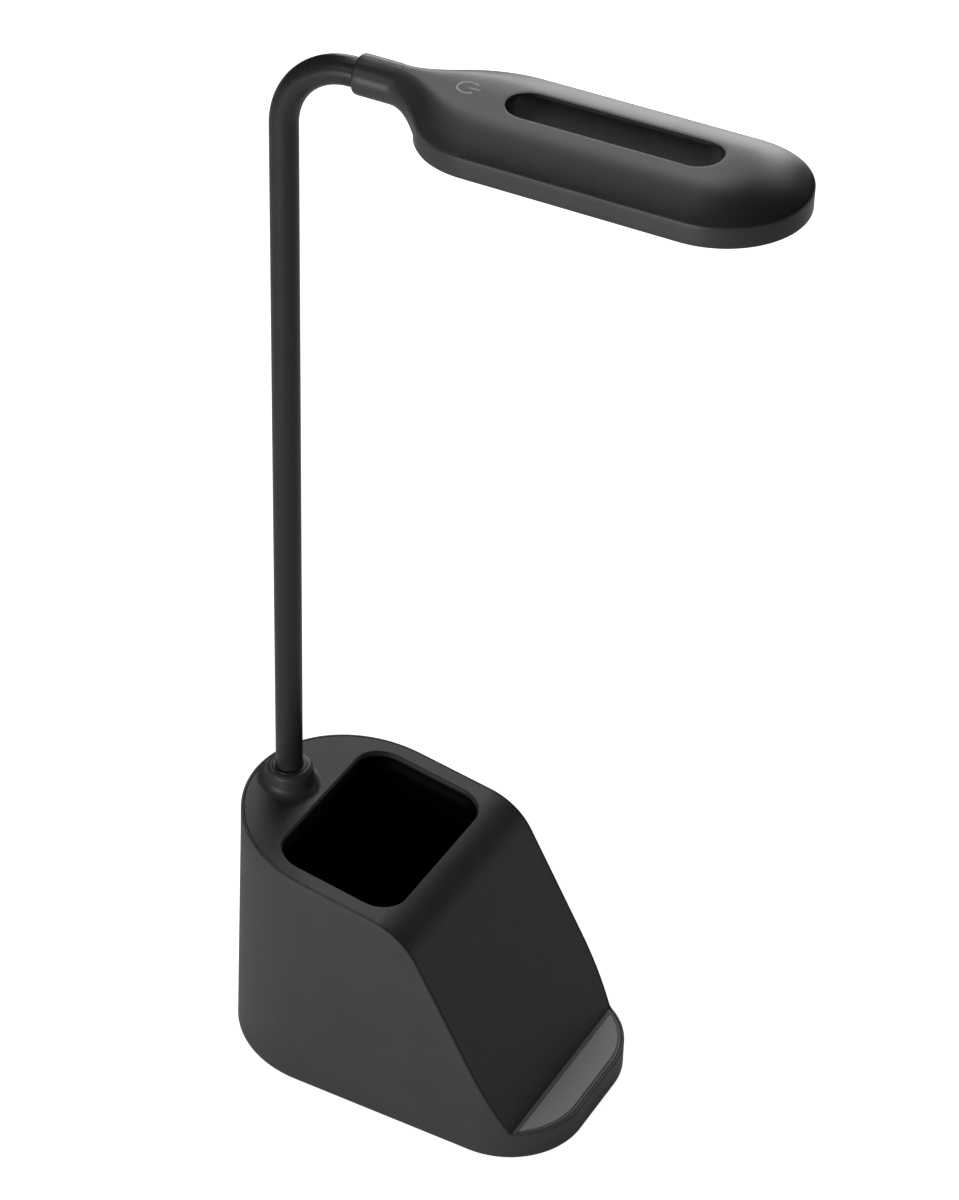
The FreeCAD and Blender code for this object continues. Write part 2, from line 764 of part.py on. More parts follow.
# Neck fixing: ring in the boss, clamp under the cover and nut below it
ring_body = new_body("ring_body")
base_z = BOSS_TOP - size("ring_depth")
height = size("ring_depth") + size("ring_proud")
pad(ring_body, ring(sketch_on(ring_body, "XY_Plane", base_z), NECK_X, ZERO, size("ring_radius")),
    height)
pocket(ring_body, ring(sketch_on(ring_body, "XY_Plane"), NECK_X, ZERO, size("neck_radius")))
keep(ring_body, "neck_ring")
clamp = new_body("clamp")
pad(clamp, ring(sketch_on(clamp, "XY_Plane", CLAMP_BOTTOM), NECK_X, ZERO, size("clamp_radius")),
    size("clamp_length"))
pocket(clamp, ring(sketch_on(clamp, "XY_Plane", CLAMP_BOTTOM + size("clamp_lip")), NECK_X, ZERO,
                   size("neck_radius")))
pocket(clamp, ring(sketch_on(clamp, "XY_Plane"), NECK_X, ZERO, size("core_radius")))
cut_above(clamp, size("cover_thickness"))
keep(clamp, "neck_clamp")
nut = new_body("nut")
sketch = sketch_on(nut, "XY_Plane", CLAMP_BOTTOM - size("nut_height"))
flat = size("nut_radius")
corners = []
for k in range(6):
    angle = as_dim(60 * k)
    corners.append((NECK_X + flat * cosine(angle), flat * sine(angle)))
pad(nut, outline(sketch, corners), size("nut_height"))
pocket(nut, ring(sketch_on(nut, "XY_Plane"), NECK_X, ZERO, size("core_radius")))
keep(nut, "neck_nut")


# Neck: a chain of ball-ended steel cores in lengths of soft sleeve
def join_reach(radius):
    return root(size(radius) * size(radius) - size("core_radius") * size("core_radius"))


def gap_reach(radius):
    return root(size(radius) * size(radius) - size("link_gap") * size("link_gap"))


def core_corners(high, low=None, tail=None):
    core, room, ball = size("core_radius"), size("ball_room"), size("ball_radius")
    if low is None:
        start = [(ZERO, tail), (core, tail)]
    else:
        start = [(ZERO, low - ball, ball, 1), (core, low + join_reach("ball_radius"))]
    return start + [(core, high - join_reach("ball_room"), room, -1), (ZERO, high - room)]


def sleeve_corners(high, low=None, tail=None):
    core, gap, outer = size("core_radius"), size("link_gap"), size("neck_radius")
    top = [(core, high - join_reach("ball_room"), size("ball_room"), 1),
           (gap_reach("ball_room"), high - gap), (outer, high - gap)]
    if low is None:
        return [(core, tail)] + top + [(outer, tail)]
    start = [(gap_reach("ball_radius"), low + gap, size("ball_radius"), 1),
             (core, low + join_reach("ball_radius"))]
    return start + top + [(outer, low + gap)]


def straight(name, corners):
    body = new_body(name)
    turned(body, outline(sketch_on(body, "XZ_Plane", across=NECK_X), corners))
    return keep(body, name)


LINKS = 6
joint_first = BOSS_TOP + size("first_joint_rise")
pitch = (BEND_Z - size("last_link") - joint_first) / (LINKS - 1)
joints = [joint_first + pitch * k for k in range(LINKS)] + [BEND_Z]
straight("neck_core_root", core_corners(joints[0], tail=CLAMP_BOTTOM - size("core_tail")))
straight("neck_sleeve_root", sleeve_corners(joints[0], tail=CLAMP_BOTTOM + size("clamp_lip")))
for k in range(LINKS):
    straight(f"neck_core_{k + 1}", core_corners(joints[k + 1], joints[k]))
    straight(f"neck_sleeve_{k + 1}", sleeve_corners(joints[k + 1], joints[k]))


# The bend: pieces of a ring about the middle of the bend
def bend_point(angle):
    return (BEND_X - size("bend_radius") * cosine(angle),
            BEND_Z + size("bend_radius") * sine(angle))


def torus(label, radius, start, sweep):
    thing = doc.addObject("Part::Torus", label)
    thing.Label = label
    bind(thing, "Radius1", size("bend_radius"))
    bind(thing, "Radius2", radius)
    bind(thing, "Angle3", sweep)
    angle = math.radians(start.number)
    across = Vector(-math.cos(angle), 0, math.sin(angle))
    turn = FreeCAD.Rotation(across, Vector(math.sin(angle), 0, math.cos(angle)), Vector(0, 1, 0), "ZXY")
    return placed(thing, BEND_X, ZERO, BEND_Z, turn)


half_gap = size("link_gap") / size("bend_radius") * (180 / math.pi)
for k in range(3):
    start = size("bend_step") * k
    end = size("bend_step") * (k + 1)
    last = k == 2
    if last:
        end = as_dim(90)
    x, z = bend_point(start)
    core = [torus(f"core_turn_{k}", size("core_radius"), start, end - start),
            sphere(f"core_ball_{k}", size("ball_radius"), x, z)]
    along = FreeCAD.Rotation(Vector(0, 1, 0), 90)
    if last:
        core.append(cylinder("core_tip", size("core_radius"), size("end_core"), BEND_X, ZERO, COLLAR_Z,
                             along))
        sweep = end - start - half_gap
    else:
        sweep = end - start - half_gap - half_gap
    whole_core = fused(f"core_whole_{k}", *core)
    sleeve = torus(f"sleeve_turn_{k}", size("neck_radius"), start + half_gap, sweep)
    if last:
        tip = cylinder("sleeve_tip", size("neck_radius"), size("end_length"), BEND_X, ZERO, COLLAR_Z, along)
        sleeve = fused("sleeve_whole", sleeve, tip)
        keep(whole_core, "neck_core_head")
        keep(cut("sleeve_end", sleeve, whole_core), "neck_sleeve_head")
    else:
        x, z = bend_point(end)
        room = sphere(f"room_{k}", size("ball_room"), x, z)
        keep(cut(f"core_bend_{k}", whole_core, room), f"bend_core_{k + 1}")
        hollow = cut(f"sleeve_hollow_{k}", sleeve, whole_core)
        keep(cut(f"sleeve_bend_{k}", hollow, room), f"bend_sleeve_{k + 1}")

# Lamp head: a long dome over an upright band, with a slot through it
SLOT = (HEAD_REAR + size("slot_inset") + size("slot_half"),
        HEAD_FRONT - size("slot_front_inset") - size("slot_half"))


def dome_body(label, inset, low, slotted=False):
    tilt, edge = size("dome_edge_tilt"), size("dome_edge") - inset
    half, corner_z = size("head_half") - inset * sine(tilt), BAND_TOP - inset * cosine(tilt)
    side = half - edge * sine(tilt)
    height = BAND_TOP + size("dome_height") - inset - corner_z + edge * cosine(tilt)
    crown = (side * side + height * height - edge * edge) / ((height - edge) * 2)
    share = crown / (crown - edge)
    top = BAND_TOP + size("dome_height") - inset
    knee = (side * share, top - crown + (crown - height) * share)
    body = new_body(label)
    upright = low is not BAND_TOP
    right = [(half, low)] if upright else []
    left = [(-half, corner_z)] if upright else []
    arch = [(half, corner_z, edge, 1), (*knee, crown, 1)]
    section = outline(sketch_on(body, "YZ_Plane", HEAD_REAR),
                      [(-half, low)] + right + arch + [(-knee[0], knee[1], edge, 1)] + left)
    pad(body, section, HEAD_FRONT - HEAD_REAR)
    for x in (HEAD_REAR, HEAD_FRONT):
        turned(body, outline(sketch_on(body, "XZ_Plane", across=x),
                             [(ZERO, low)] + right + arch + [(ZERO, top)]))
    if slotted:
        pocket(body, outline(sketch_on(body, "XY_Plane"), stadium(*SLOT, size("slot_half"))))
        floor = BAND_TOP.number + size("dome_height").number / 2
        near = size("slot_half").number + size("slot_wall").number

        def slot_rim(edge):
            return all(p.z > floor and abs(p.y) < near
                       and SLOT[0].number - near < p.x < SLOT[1].number + near
                       for p in samples(edge)) and edge.BoundBox.ZLength < size("slot_round").number
        dressed(body, "PartDesign::Fillet", "Radius", size("slot_round"), slot_rim)
    return body


# The collar and its smooth widening into the head, as closed curves along X
BLEND_STATION_SHARES = (0.0, 0.12, 0.22, 0.32, 0.42, 0.52, 0.64, 0.8, 1.0)
BLEND_WIDTH_SHARES = (0.0, 0.033, 0.11, 0.245, 0.455, 0.69, 0.86, 0.94, 0.955)
BLEND_RISE_SHARES = (0.0, 0.02, 0.12, 0.28, 0.48, 0.7, 0.88, 0.97, 1.0)
BLEND_POWERS = (2.0, 2.0, 2.0, 2.05, 2.1, 2.2, 2.3, 2.3, 2.3)
CURVE_POINTS = 24
COLLAR_REAR = BEND_X + size("collar_start")
COLLAR_FRONT = COLLAR_REAR + size("collar_length")


def mixed(low, high, share):
    return low.number + (high.number - low.number) * share


def section_curve(x, width, middle, above, below, power):
    points = []
    for step in range(CURVE_POINTS):
        angle = 2 * math.pi * step / CURVE_POINTS
        c, s = math.cos(angle), math.sin(angle)
        tall = above if s > 0 else below
        points.append(Vector(x, math.copysign(width * abs(c) ** (2 / power), c),
                             middle + math.copysign(tall * abs(s) ** (2 / power), s)))
    curve = Part.BSplineCurve()
    curve.interpolate(Points=points, PeriodicFlag=True)
    return Part.Wire([curve.toShape()])


def blend_section(k):
    rise = BLEND_RISE_SHARES[k]
    return section_curve(mixed(COLLAR_FRONT, HEAD_REAR + size("blend_overlap"), BLEND_STATION_SHARES[k]),
                         mixed(size("collar_radius"), size("head_half"), BLEND_WIDTH_SHARES[k]),
                         mixed(COLLAR_Z, BAND_TOP, rise),
                         mixed(size("collar_radius"), size("blend_top"), rise),
                         mixed(size("collar_radius"), size("blend_bottom"), rise), BLEND_POWERS[k])


def round_section(x, radius):
    return section_curve(x.number, radius.number, COLLAR_Z.number, radius.number, radius.number, 2)


mouth = round_section(COLLAR_REAR, size("collar_mouth"))
shoulder_ring = round_section(COLLAR_REAR + size("collar_bevel"), size("collar_radius"))
blend = [blend_section(k) for k in range(len(BLEND_POWERS))]
collar = doc.addObject("Part::Feature", "collar")
lengths = [Part.makeLoft(wires, True, ruled)
           for wires, ruled in (([mouth, shoulder_ring], True), ([shoulder_ring, blend[0]], True))]
spoon = Part.makeLoft(blend, True, False)
collar.Shape = spoon.fuse(lengths)
collar.Placement = FreeCAD.Placement()

dome = dome_body("head_dome", ZERO, BAND_TOP, slotted=True)
whole_head = dome_body("head_whole", ZERO, HEAD_BOTTOM, slotted=True)
hollow = dome_body("head_hollow", size("head_wall"), HEAD_BOTTOM)
tower = new_body("tower")
pad(tower, outline(sketch_on(tower, "XY_Plane", HEAD_BOTTOM),
                   stadium(*SLOT, size("slot_half") + size("slot_wall"))), size("head_half"))
LED_Z = HEAD_BOTTOM + size("led_board_rise")
LED_TOP = LED_Z + size("led_board_thickness")
STUDS = [(x, size("stud_row") * side)
         for x in (HEAD_REAR + size("stud_inset"), HEAD_FRONT - size("stud_inset")) for side in (-1, 1)]
inner_parts = [tower]
for k, (x, y) in enumerate(STUDS):
    stud = new_body(f"stud_{k}")
    pad(stud, ring(sketch_on(stud, "XY_Plane", LED_TOP), x, y, size("stud_radius")), size("head_half"))
    pocket(stud, ring(sketch_on(stud, "XY_Plane", LED_TOP), x, y, size("stud_screw")),
           size("stud_screw_length"))
    inner_parts.append(stud)
inner = [shared(f"inner_{k}", part, whole_head) for k, part in enumerate(inner_parts)]
blend_open = cut("collar_open", collar, tower)
skin = cut("head_skin", fused("head_outer", dome, blend_open), hollow)

bar_half = size("symbol_stroke") / 2
mark = new_body("mark")
opening = size("symbol_opening")
out_r, in_r = size("symbol_radius"), size("symbol_radius") - size("symbol_stroke")
tips = [(SYMBOL_X + r * cosine(opening), r * sine(opening) * side)
        for r, side in ((out_r, 1), (in_r, 1), (in_r, -1), (out_r, -1))]
back_out, back_in = (SYMBOL_X - out_r, ZERO), (SYMBOL_X - in_r, ZERO)
mark_z = size("lamp_height") - size("symbol_drop") + size("symbol_proud") - size("symbol_depth")
pad(mark, outline(sketch_on(mark, "XY_Plane", mark_z),
                  [(*tips[0], out_r, 1), (*back_out, out_r, 1), tips[3],
                   (*tips[2], in_r, -1), (*back_in, in_r, -1), tips[1]]), size("symbol_depth"))
bar = new_body("bar")
pad(bar, outline(sketch_on(bar, "XY_Plane", mark_z),
                 rectangle(SYMBOL_X - bar_half, SYMBOL_X + size("symbol_bar") - bar_half,
                           -bar_half, bar_half)), size("symbol_depth"))
symbol = fused("symbol", mark, bar)
keep(symbol, "touch_symbol")
frame = new_body("frame")
STRAIGHT = (HEAD_REAR, HEAD_FRONT)
pad(frame, outline(sketch_on(frame, "XY_Plane", HEAD_BOTTOM), stadium(*STRAIGHT, size("head_half"))),
    size("band_height"))
inner_radius = size("head_half") - size("frame_wall")
pocket(frame, outline(sketch_on(frame, "XY_Plane", HEAD_BOTTOM + size("frame_lip_height")),
                      stadium(*STRAIGHT, inner_radius)))
pocket(frame, outline(sketch_on(frame, "XY_Plane"),
                      stadium(*STRAIGHT, inner_radius - size("frame_lip"))))
keep(frame, "head_frame")
wires = cylinder("wires", size("wire_radius"), HEAD_REAR - BEND_X, BEND_X, ZERO, COLLAR_Z,
                 FreeCAD.Rotation(Vector(0, 1, 0), 90))
neck_end = fused("neck_end", wires,
                 *[n for n in nodes if n.Label in ("neck_core_head", "neck_sleeve_head")])
solid_shell = cut("head_closed", fused("head_solid", skin, *inner), frame)
keep(cut("head_marked", cut("head_bored", solid_shell, neck_end), symbol), "head_shell")

gap = size("diffuser_gap")
tower_radius = size("slot_half") + size("slot_wall")


def tray(name, low, thickness, inset):
    body = new_body(name)
    pad(body, outline(sketch_on(body, "XY_Plane", low), stadium(*STRAIGHT, inner_radius - inset)), thickness)
    pocket(body, outline(sketch_on(body, "XY_Plane"), stadium(*SLOT, tower_radius + gap)))
    return body


diffuser = tray("diffuser_tray", HEAD_BOTTOM + size("frame_lip_height"), size("diffuser_thickness"),
                gap)
keep(diffuser, "diffuser")
led_board = tray("led_tray", LED_Z, size("led_board_thickness"), gap)
for x, y in STUDS:
    pocket(led_board, ring(sketch_on(led_board, "XY_Plane"), x, y, size("stud_screw")))
keep(led_board, "led_board")
leds = []
LEDS_IN_ROW = 9
half = size("led_size") / 2
for row in (-1, 1):
    for k in range(LEDS_IN_ROW):
        x = HEAD_REAR + size("head_length") / (LEDS_IN_ROW - 1) * k
        y = size("led_row") * row
        leds.append(box(f"led_{row}_{k}", x - half, x + half, y - half, y + half,
                        LED_Z - size("led_height"), LED_Z))
keep(fused("leds", *leds), "led_chips")
head_screws = [screw(f"head_screw_{k}", x, y, LED_Z - size("led_height"), size("stud_screw_head"),
                     size("led_height"), size("stud_screw"), size("stud_screw_length"))
               for k, (x, y) in enumerate(STUDS)]
keep(fused("head_screws_node", *head_screws), "head_screws")
electrode = new_body("electrode")
disc_top = size("lamp_height") - size("head_wall") - size("electrode_gap")
disc_bottom = disc_top - size("electrode_thickness")
sketch = sketch_on(electrode, "XZ_Plane", across=SYMBOL_X)
outline(sketch, [(ZERO, LED_TOP), (size("electrode_post"), LED_TOP),
                 (size("electrode_post"), disc_bottom), (size("electrode_radius"), disc_bottom),
                 (size("electrode_radius"), disc_top), (ZERO, disc_top)])
turned(electrode, sketch)
keep(electrode, "touch_electrode")

doc.recompute()
faults = [thing.Name for thing in doc.Objects if "Invalid" in thing.State or "Error" in thing.State]
faults += [node.Label for node in nodes if node.Shape.isNull() or not node.Shape.isValid()]
if faults:
    raise ValueError("these objects failed: " + ", ".join(faults))
for node in nodes:
    node.Shape.exportStep(f"parts/{node.Label}.step")
    print(node.Label, len(node.Shape.Solids), round(node.Shape.Volume))
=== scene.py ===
import bmesh
import bpy
import json
import math
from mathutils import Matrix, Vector

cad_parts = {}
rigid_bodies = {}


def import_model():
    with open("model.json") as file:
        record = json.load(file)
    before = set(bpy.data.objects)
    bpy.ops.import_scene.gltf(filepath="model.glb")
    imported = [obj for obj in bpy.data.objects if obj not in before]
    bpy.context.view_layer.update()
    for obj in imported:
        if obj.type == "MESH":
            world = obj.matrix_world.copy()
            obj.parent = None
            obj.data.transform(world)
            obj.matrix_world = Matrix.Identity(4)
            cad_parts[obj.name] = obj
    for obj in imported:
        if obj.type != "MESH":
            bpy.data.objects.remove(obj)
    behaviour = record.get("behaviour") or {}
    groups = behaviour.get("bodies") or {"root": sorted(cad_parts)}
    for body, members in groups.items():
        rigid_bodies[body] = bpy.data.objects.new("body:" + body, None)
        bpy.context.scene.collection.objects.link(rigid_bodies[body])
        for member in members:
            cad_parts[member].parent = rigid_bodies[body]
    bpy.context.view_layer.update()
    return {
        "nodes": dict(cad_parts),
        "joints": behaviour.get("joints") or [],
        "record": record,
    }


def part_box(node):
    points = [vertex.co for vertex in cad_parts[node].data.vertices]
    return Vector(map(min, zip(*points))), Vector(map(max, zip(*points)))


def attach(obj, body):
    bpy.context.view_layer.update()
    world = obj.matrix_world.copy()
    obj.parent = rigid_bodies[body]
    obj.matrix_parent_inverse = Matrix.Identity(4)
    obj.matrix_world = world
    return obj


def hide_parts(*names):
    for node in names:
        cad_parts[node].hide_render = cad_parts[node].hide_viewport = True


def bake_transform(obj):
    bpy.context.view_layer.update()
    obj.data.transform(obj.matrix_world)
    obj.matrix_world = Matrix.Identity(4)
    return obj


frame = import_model()
mm = 0.001
quarter = math.pi / 2
print("frame loaded")


# places that the frame gives
shellLow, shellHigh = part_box("outer_shell")
bandLow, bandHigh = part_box("head_frame")
ringLow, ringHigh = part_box("neck_ring")
cupLow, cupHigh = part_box("pen_cup")
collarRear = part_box("head_shell")[0].x
neckX = (ringLow.x + ringHigh.x) / 2


def smooth(value, start, end):
    share = min(max((value - start) / (end - start), 0), 1)
    return share * share * (3 - 2 * share)


def mix(a, b, share):
    return a + (b - a) * share


def spread(start, end, count):
    return [mix(start, end, k / count) for k in range(count + 1)]


# a rounded corner as distances from its two faces, from one face to the other
def roundedCorner(radius, count=4):
    return [(radius * (1 - math.sin(a)), radius * (1 - math.cos(a))) for a in spread(0, quarter, count)]


# an object from points and faces, merged and smooth
def finishMesh(name, points, faces):
    mesh = bpy.data.meshes.new(name)
    mesh.from_pydata([tuple(p) for p in points], [], faces)
    piece = bpy.data.objects.new(name, mesh)
    bpy.context.scene.collection.objects.link(piece)
    tidyMesh(piece)
    return piece


def tidyMesh(piece, gap=0.001 * mm):
    work = bmesh.new()
    work.from_mesh(piece.data)
    bmesh.ops.remove_doubles(work, verts=work.verts, dist=gap)
    bmesh.ops.dissolve_degenerate(work, edges=work.edges, dist=gap)
    bmesh.ops.recalc_face_normals(work, faces=work.faces)
    for face in work.faces:
        face.smooth = True
    work.to_mesh(piece.data)
    work.free()


def closeEnds(piece):
    work = bmesh.new()
    work.from_mesh(piece.data)
    bmesh.ops.holes_fill(work, edges=work.edges)
    bmesh.ops.recalc_face_normals(work, faces=work.faces)
    work.to_mesh(piece.data)
    work.free()
    return piece


# rows of points become a skin; wrap joins the last row to the first
def skin(rows, wrapRows, wrapPoints, start):
    faces, wide = [], len(rows[0])
    points = [p for row in rows for p in row]
    for r in range(len(rows) if wrapRows else len(rows) - 1):
        below, above = r * wide, (r + 1) % len(rows) * wide
        for c in range(wide if wrapPoints else wide - 1):
            d = (c + 1) % wide
            faces.append([start + k for k in (below + c, below + d, above + d, above + c)])
    return points, faces


def skinsTogether(name, parts):
    points, faces = [], []
    for rows, wrapRows, wrapPoints in parts:
        more, quads = skin(rows, wrapRows, wrapPoints, len(points))
        points += more
        faces += quads
    return finishMesh(name, points, faces)


def otherSide(rows):
    return [[Vector((p.x, -p.y, p.z)) for p in row] for row in rows]


# half a loop and its mirror image, in one run round the piece
def wholeLoop(rows):
    return rows + otherSide(reversed(rows))


# small even round on every sharp edge of a CAD node
def softEdges(piece, width):
    clean = piece.modifiers.new("merge", "WELD")
    clean.merge_threshold = 0.0005 * mm
    flat = piece.modifiers.new("flat faces", "DECIMATE")
    flat.decimate_type = "DISSOLVE"
    flat.angle_limit = math.radians(0.3)
    bevel = piece.modifiers.new("soft edges", "BEVEL")
    bevel.width = width
    bevel.segments = 3
    bevel.limit_method = "ANGLE"
    bevel.angle_limit = math.radians(35)
    even = piece.modifiers.new("even light", "WEIGHTED_NORMAL")
    even.keep_sharp = False
    piece.data.shade_smooth()


# turns the result of the modifiers into a plain mesh and drops them
def bake(piece):
    graph = bpy.context.evaluated_depsgraph_get()
    mesh = bpy.data.meshes.new_from_object(piece.evaluated_get(graph))
    piece.modifiers.clear()
    if piece.type == "CURVE":
        made = bpy.data.objects.new(piece.name, mesh)
        bpy.context.scene.collection.objects.link(made)
        bpy.data.objects.remove(piece)
        made.name = mesh.name = made.name.split(".")[0]
        return made
    piece.data = mesh
    return piece


# screen colour code to linear light
def linear(code):
    parts = [int(code[k:k + 2], 16) / 255 for k in (1, 3, 5)]
    return [c / 12.92 if c <= 0.04045 else ((c + 0.055) / 1.055) ** 2.4 for c in parts] + [1]


def addNode(tree, kind, settings={}, sockets={}):
    added = tree.nodes.new(kind)
    for name, value in settings.items():
        setattr(added, name, value)
    for name, value in sockets.items():
        if isinstance(value, bpy.types.NodeSocket):
            tree.links.new(value, added.inputs[name])
        else:
            added.inputs[name].default_value = value
    return added


def newMaterial(name):
    material = bpy.data.materials.new(name)
    material.use_nodes = True
    tree = material.node_tree
    shader = tree.nodes["Principled BSDF"]
    place = addNode(tree, "ShaderNodeTexCoord").outputs["Object"]
    return material, tree, shader, place


def setShades(ramp, shades):
    for stop, shade in zip(ramp.color_ramp.elements, shades):
        stop.color = linear(shade)


# colour drifting between two near shades, grain as bump, roughness that wanders a little
def mouldedFinish(name, shades, grain, depth, rough, ior=1.5, coat=0.0):
    drift = 18 * mm
    material, tree, shader, place = newMaterial(name)
    cloud = addNode(tree, "ShaderNodeTexNoise", sockets={
        "Vector": place, "Scale": 1 / drift, "Detail": 3.0, "Roughness": 0.5})
    speck = addNode(tree, "ShaderNodeTexNoise", sockets={
        "Vector": place, "Scale": 1 / grain, "Detail": 2.0, "Roughness": 0.6})
    both = addNode(tree, "ShaderNodeMath", {"operation": "MULTIPLY_ADD"}, {
        0: speck.outputs["Fac"], 1: 0.35, 2: cloud.outputs["Fac"]})
    ramp = addNode(tree, "ShaderNodeValToRGB", sockets={"Fac": both.outputs[0]})
    ramp.color_ramp.elements[0].position = 0.45
    ramp.color_ramp.elements[1].position = 0.9
    setShades(ramp, shades)
    tree.links.new(ramp.outputs["Color"], shader.inputs["Base Color"])
    gloss = addNode(tree, "ShaderNodeMapRange", sockets={
        "Value": both.outputs[0], "From Min": 0.4, "From Max": 0.95,
        "To Min": rough[0], "To Max": rough[1]})
    tree.links.new(gloss.outputs["Result"], shader.inputs["Roughness"])
    bump = addNode(tree, "ShaderNodeBump", sockets={
        "Height": speck.outputs["Fac"], "Strength": 1.0, "Distance": depth})
    tree.links.new(bump.outputs["Normal"], shader.inputs["Normal"])
    shader.inputs["IOR"].default_value = ior
    shader.inputs["Coat Weight"].default_value = coat
    return material


# drawn or turned metal: one noise, stretched along the tool lines, drives shade, gloss and bump;
# fineness counts the marks in a metre along x, y and z
def metalFinish(name, shades, fineness, depth, rough):
    material, tree, shader, place = newMaterial(name)
    lines = addNode(tree, "ShaderNodeMapping", {"vector_type": "POINT"}, {
        "Vector": place, "Scale": fineness})
    noise = addNode(tree, "ShaderNodeTexNoise", sockets={
        "Vector": lines.outputs["Vector"], "Scale": 1.0, "Detail": 3.0})
    ramp = addNode(tree, "ShaderNodeValToRGB", sockets={"Fac": noise.outputs["Fac"]})
    setShades(ramp, shades)
    tree.links.new(ramp.outputs["Color"], shader.inputs["Base Color"])
    gloss = addNode(tree, "ShaderNodeMapRange", sockets={
        "Value": noise.outputs["Fac"], "To Min": rough[0], "To Max": rough[1]})
    tree.links.new(gloss.outputs["Result"], shader.inputs["Roughness"])
    bump = addNode(tree, "ShaderNodeBump", sockets={
        "Height": noise.outputs["Fac"], "Distance": depth})
    tree.links.new(bump.outputs["Normal"], shader.inputs["Normal"])
    shader.inputs["Metallic"].default_value = 1.0
    return material


# the real spark texture is about 0.1 mm; it is drawn at 0.45 mm, the finest that shows
# an even matt black with wide, soft light on the walls
housingAbs = mouldedFinish("black ABS, moulded with spark texture",
                           ("#464648", "#4a4a4c"), 0.45 * mm, 0.012 * mm, (0.44, 0.52))
# a shade darker, with a fine speckle where light grazes the slope
coverAbs = mouldedFinish("black ABS, finer spark texture",
                         ("#38383a", "#414143"), 0.45 * mm, 0.03 * mm, (0.42, 0.50))
# smoother, so that highlights run long along the dome
headAbs = mouldedFinish("black ABS, satin moulded",
                        ("#404042", "#434345"), 0.3 * mm, 0.004 * mm, (0.33, 0.39))
# painted shade: colour near black and weak gloss, so that almost no light comes back and the cup looks
# deep; the shade of its depth is painted into the plastic
cupPaintedShade = mouldedFinish("black ABS inside the cup, with painted shade",
                       ("#040404", "#060606"), 0.5 * mm, 0.01 * mm, (0.5, 0.6), 1.15)
# darker than the head, with a soft sheen down the neck
sleeveSilicone = mouldedFinish("black silicone sleeve, extruded and rubbed matt",
                               ("#303032", "#343436"), 0.25 * mm, 0.003 * mm, (0.29, 0.35), 1.45)
# flat mid grey that sets the ledge off from the black
padSilicone = mouldedFinish("grey silicone pad, moulded",
                            ("#a3a3a3", "#a9a9a9"), 0.35 * mm, 0.01 * mm, (0.55, 0.65), 1.43)
# dull black without any highlight
footRubber = mouldedFinish("black foot rubber, pressed",
                           ("#262626", "#2b2b2b"), 0.5 * mm, 0.02 * mm, (0.7, 0.8), 1.52)
# a thin bright line round the foot of the neck
ringAbs = mouldedFinish("black ABS, polished ring",
                        ("#2e2e30", "#323234"), 0.3 * mm, 0.003 * mm, (0.28, 0.34))
# plain light grey without shine, like a print
symbolInk = mouldedFinish("light grey pad-printing ink",
                          ("#f0f0f0", "#f4f4f4"), 0.2 * mm, 0.002 * mm, (0.45, 0.55))
# dry black of inner parts
insideNylon = mouldedFinish("black nylon, moulded",
                            ("#2c2c2e", "#343436"), 0.5 * mm, 0.02 * mm, (0.5, 0.62), 1.53)
# warm white with a smooth face
milkyAcrylic = mouldedFinish("opal acrylic, extruded sheet",
                             ("#ecebe6", "#f2f1ed"), 0.6 * mm, 0.002 * mm, (0.28, 0.34), 1.49)
# dark green under a glossy film
boardGreen = mouldedFinish("fibreglass board with solder mask",
                           ("#14482b", "#1a5433"), 0.4 * mm, 0.006 * mm, (0.28, 0.36), coat=0.3)
# yellow gel, a little shiny
phosphorYellow = mouldedFinish("LED chip with phosphor gel",
                               ("#e6cf6a", "#efdb80"), 0.2 * mm, 0.004 * mm, (0.3, 0.4), 1.41)
# tight blue film with sharp highlights
cellFilm = mouldedFinish("blue shrink film on a cell",
                         ("#1d4f8c", "#22589a"), 0.8 * mm, 0.006 * mm, (0.25, 0.33), coat=0.4)
# cool grey metal, fine lines along the screw
zincSteel = metalFinish("zinc-plated steel screws",
                        ("#a9abb0", "#c2c4c8"), (4000, 4000, 900), 0.003 * mm, (0.3, 0.42))
# grey metal with long rolling lines
plainSteel = metalFinish("cold-rolled steel",
                         ("#8b8d90", "#a0a2a5"), (300, 2500, 2500), 0.006 * mm, (0.35, 0.5))
# almost mirror bright, as the shell of a socket
brightSteel = metalFinish("stamped bright steel",
                          ("#c9cbce", "#dcdee0"), (2500, 2500, 400), 0.002 * mm, (0.16, 0.24))
# yellow metal with close rings from the lathe
turnedBrass = metalFinish("turned brass",
                          ("#b08d4c", "#c9a660"), (600, 600, 5000), 0.005 * mm, (0.25, 0.38))
# reddish foil, softly cloudy
copperFoil = metalFinish("copper foil",
                         ("#b5704f", "#c98463"), (900, 900, 900), 0.004 * mm, (0.3, 0.42))

# the cup's material has painted shade: its colour is set near black for the depth of the cup
slotMaterials = {
    "housing": housingAbs, "cover": coverAbs, "cup": cupPaintedShade, "grey_silicone": padSilicone,
    "inner_plastic": insideNylon, "foot_rubber": footRubber, "screw_steel": zincSteel,
    "plain_steel": plainSteel, "bright_steel": brightSteel, "cell_sleeve": cellFilm,
    "circuit_board": boardGreen, "ring_plastic": ringAbs, "brass_nut": turnedBrass,
    "symbol_print": symbolInk, "head_plastic": headAbs, "milky_plastic": milkyAcrylic,
    "led_yellow": phosphorYellow, "copper": copperFoil, "neck_silicone": sleeveSilicone}
for part in frame["record"]["subparts"]:
    node = frame["nodes"][part["node"]]
    node.data.materials.clear()
    node.data.materials.append(slotMaterials[part["material_slot"]])
print("materials made")


# material, slot, replaced CAD nodes and body of a finished piece
def dress(piece, slot, body, *nodes):
    piece.data.materials.clear()
    piece.data.materials.append(slotMaterials[slot])
    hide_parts(*nodes)
    if body:
        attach(piece, body)


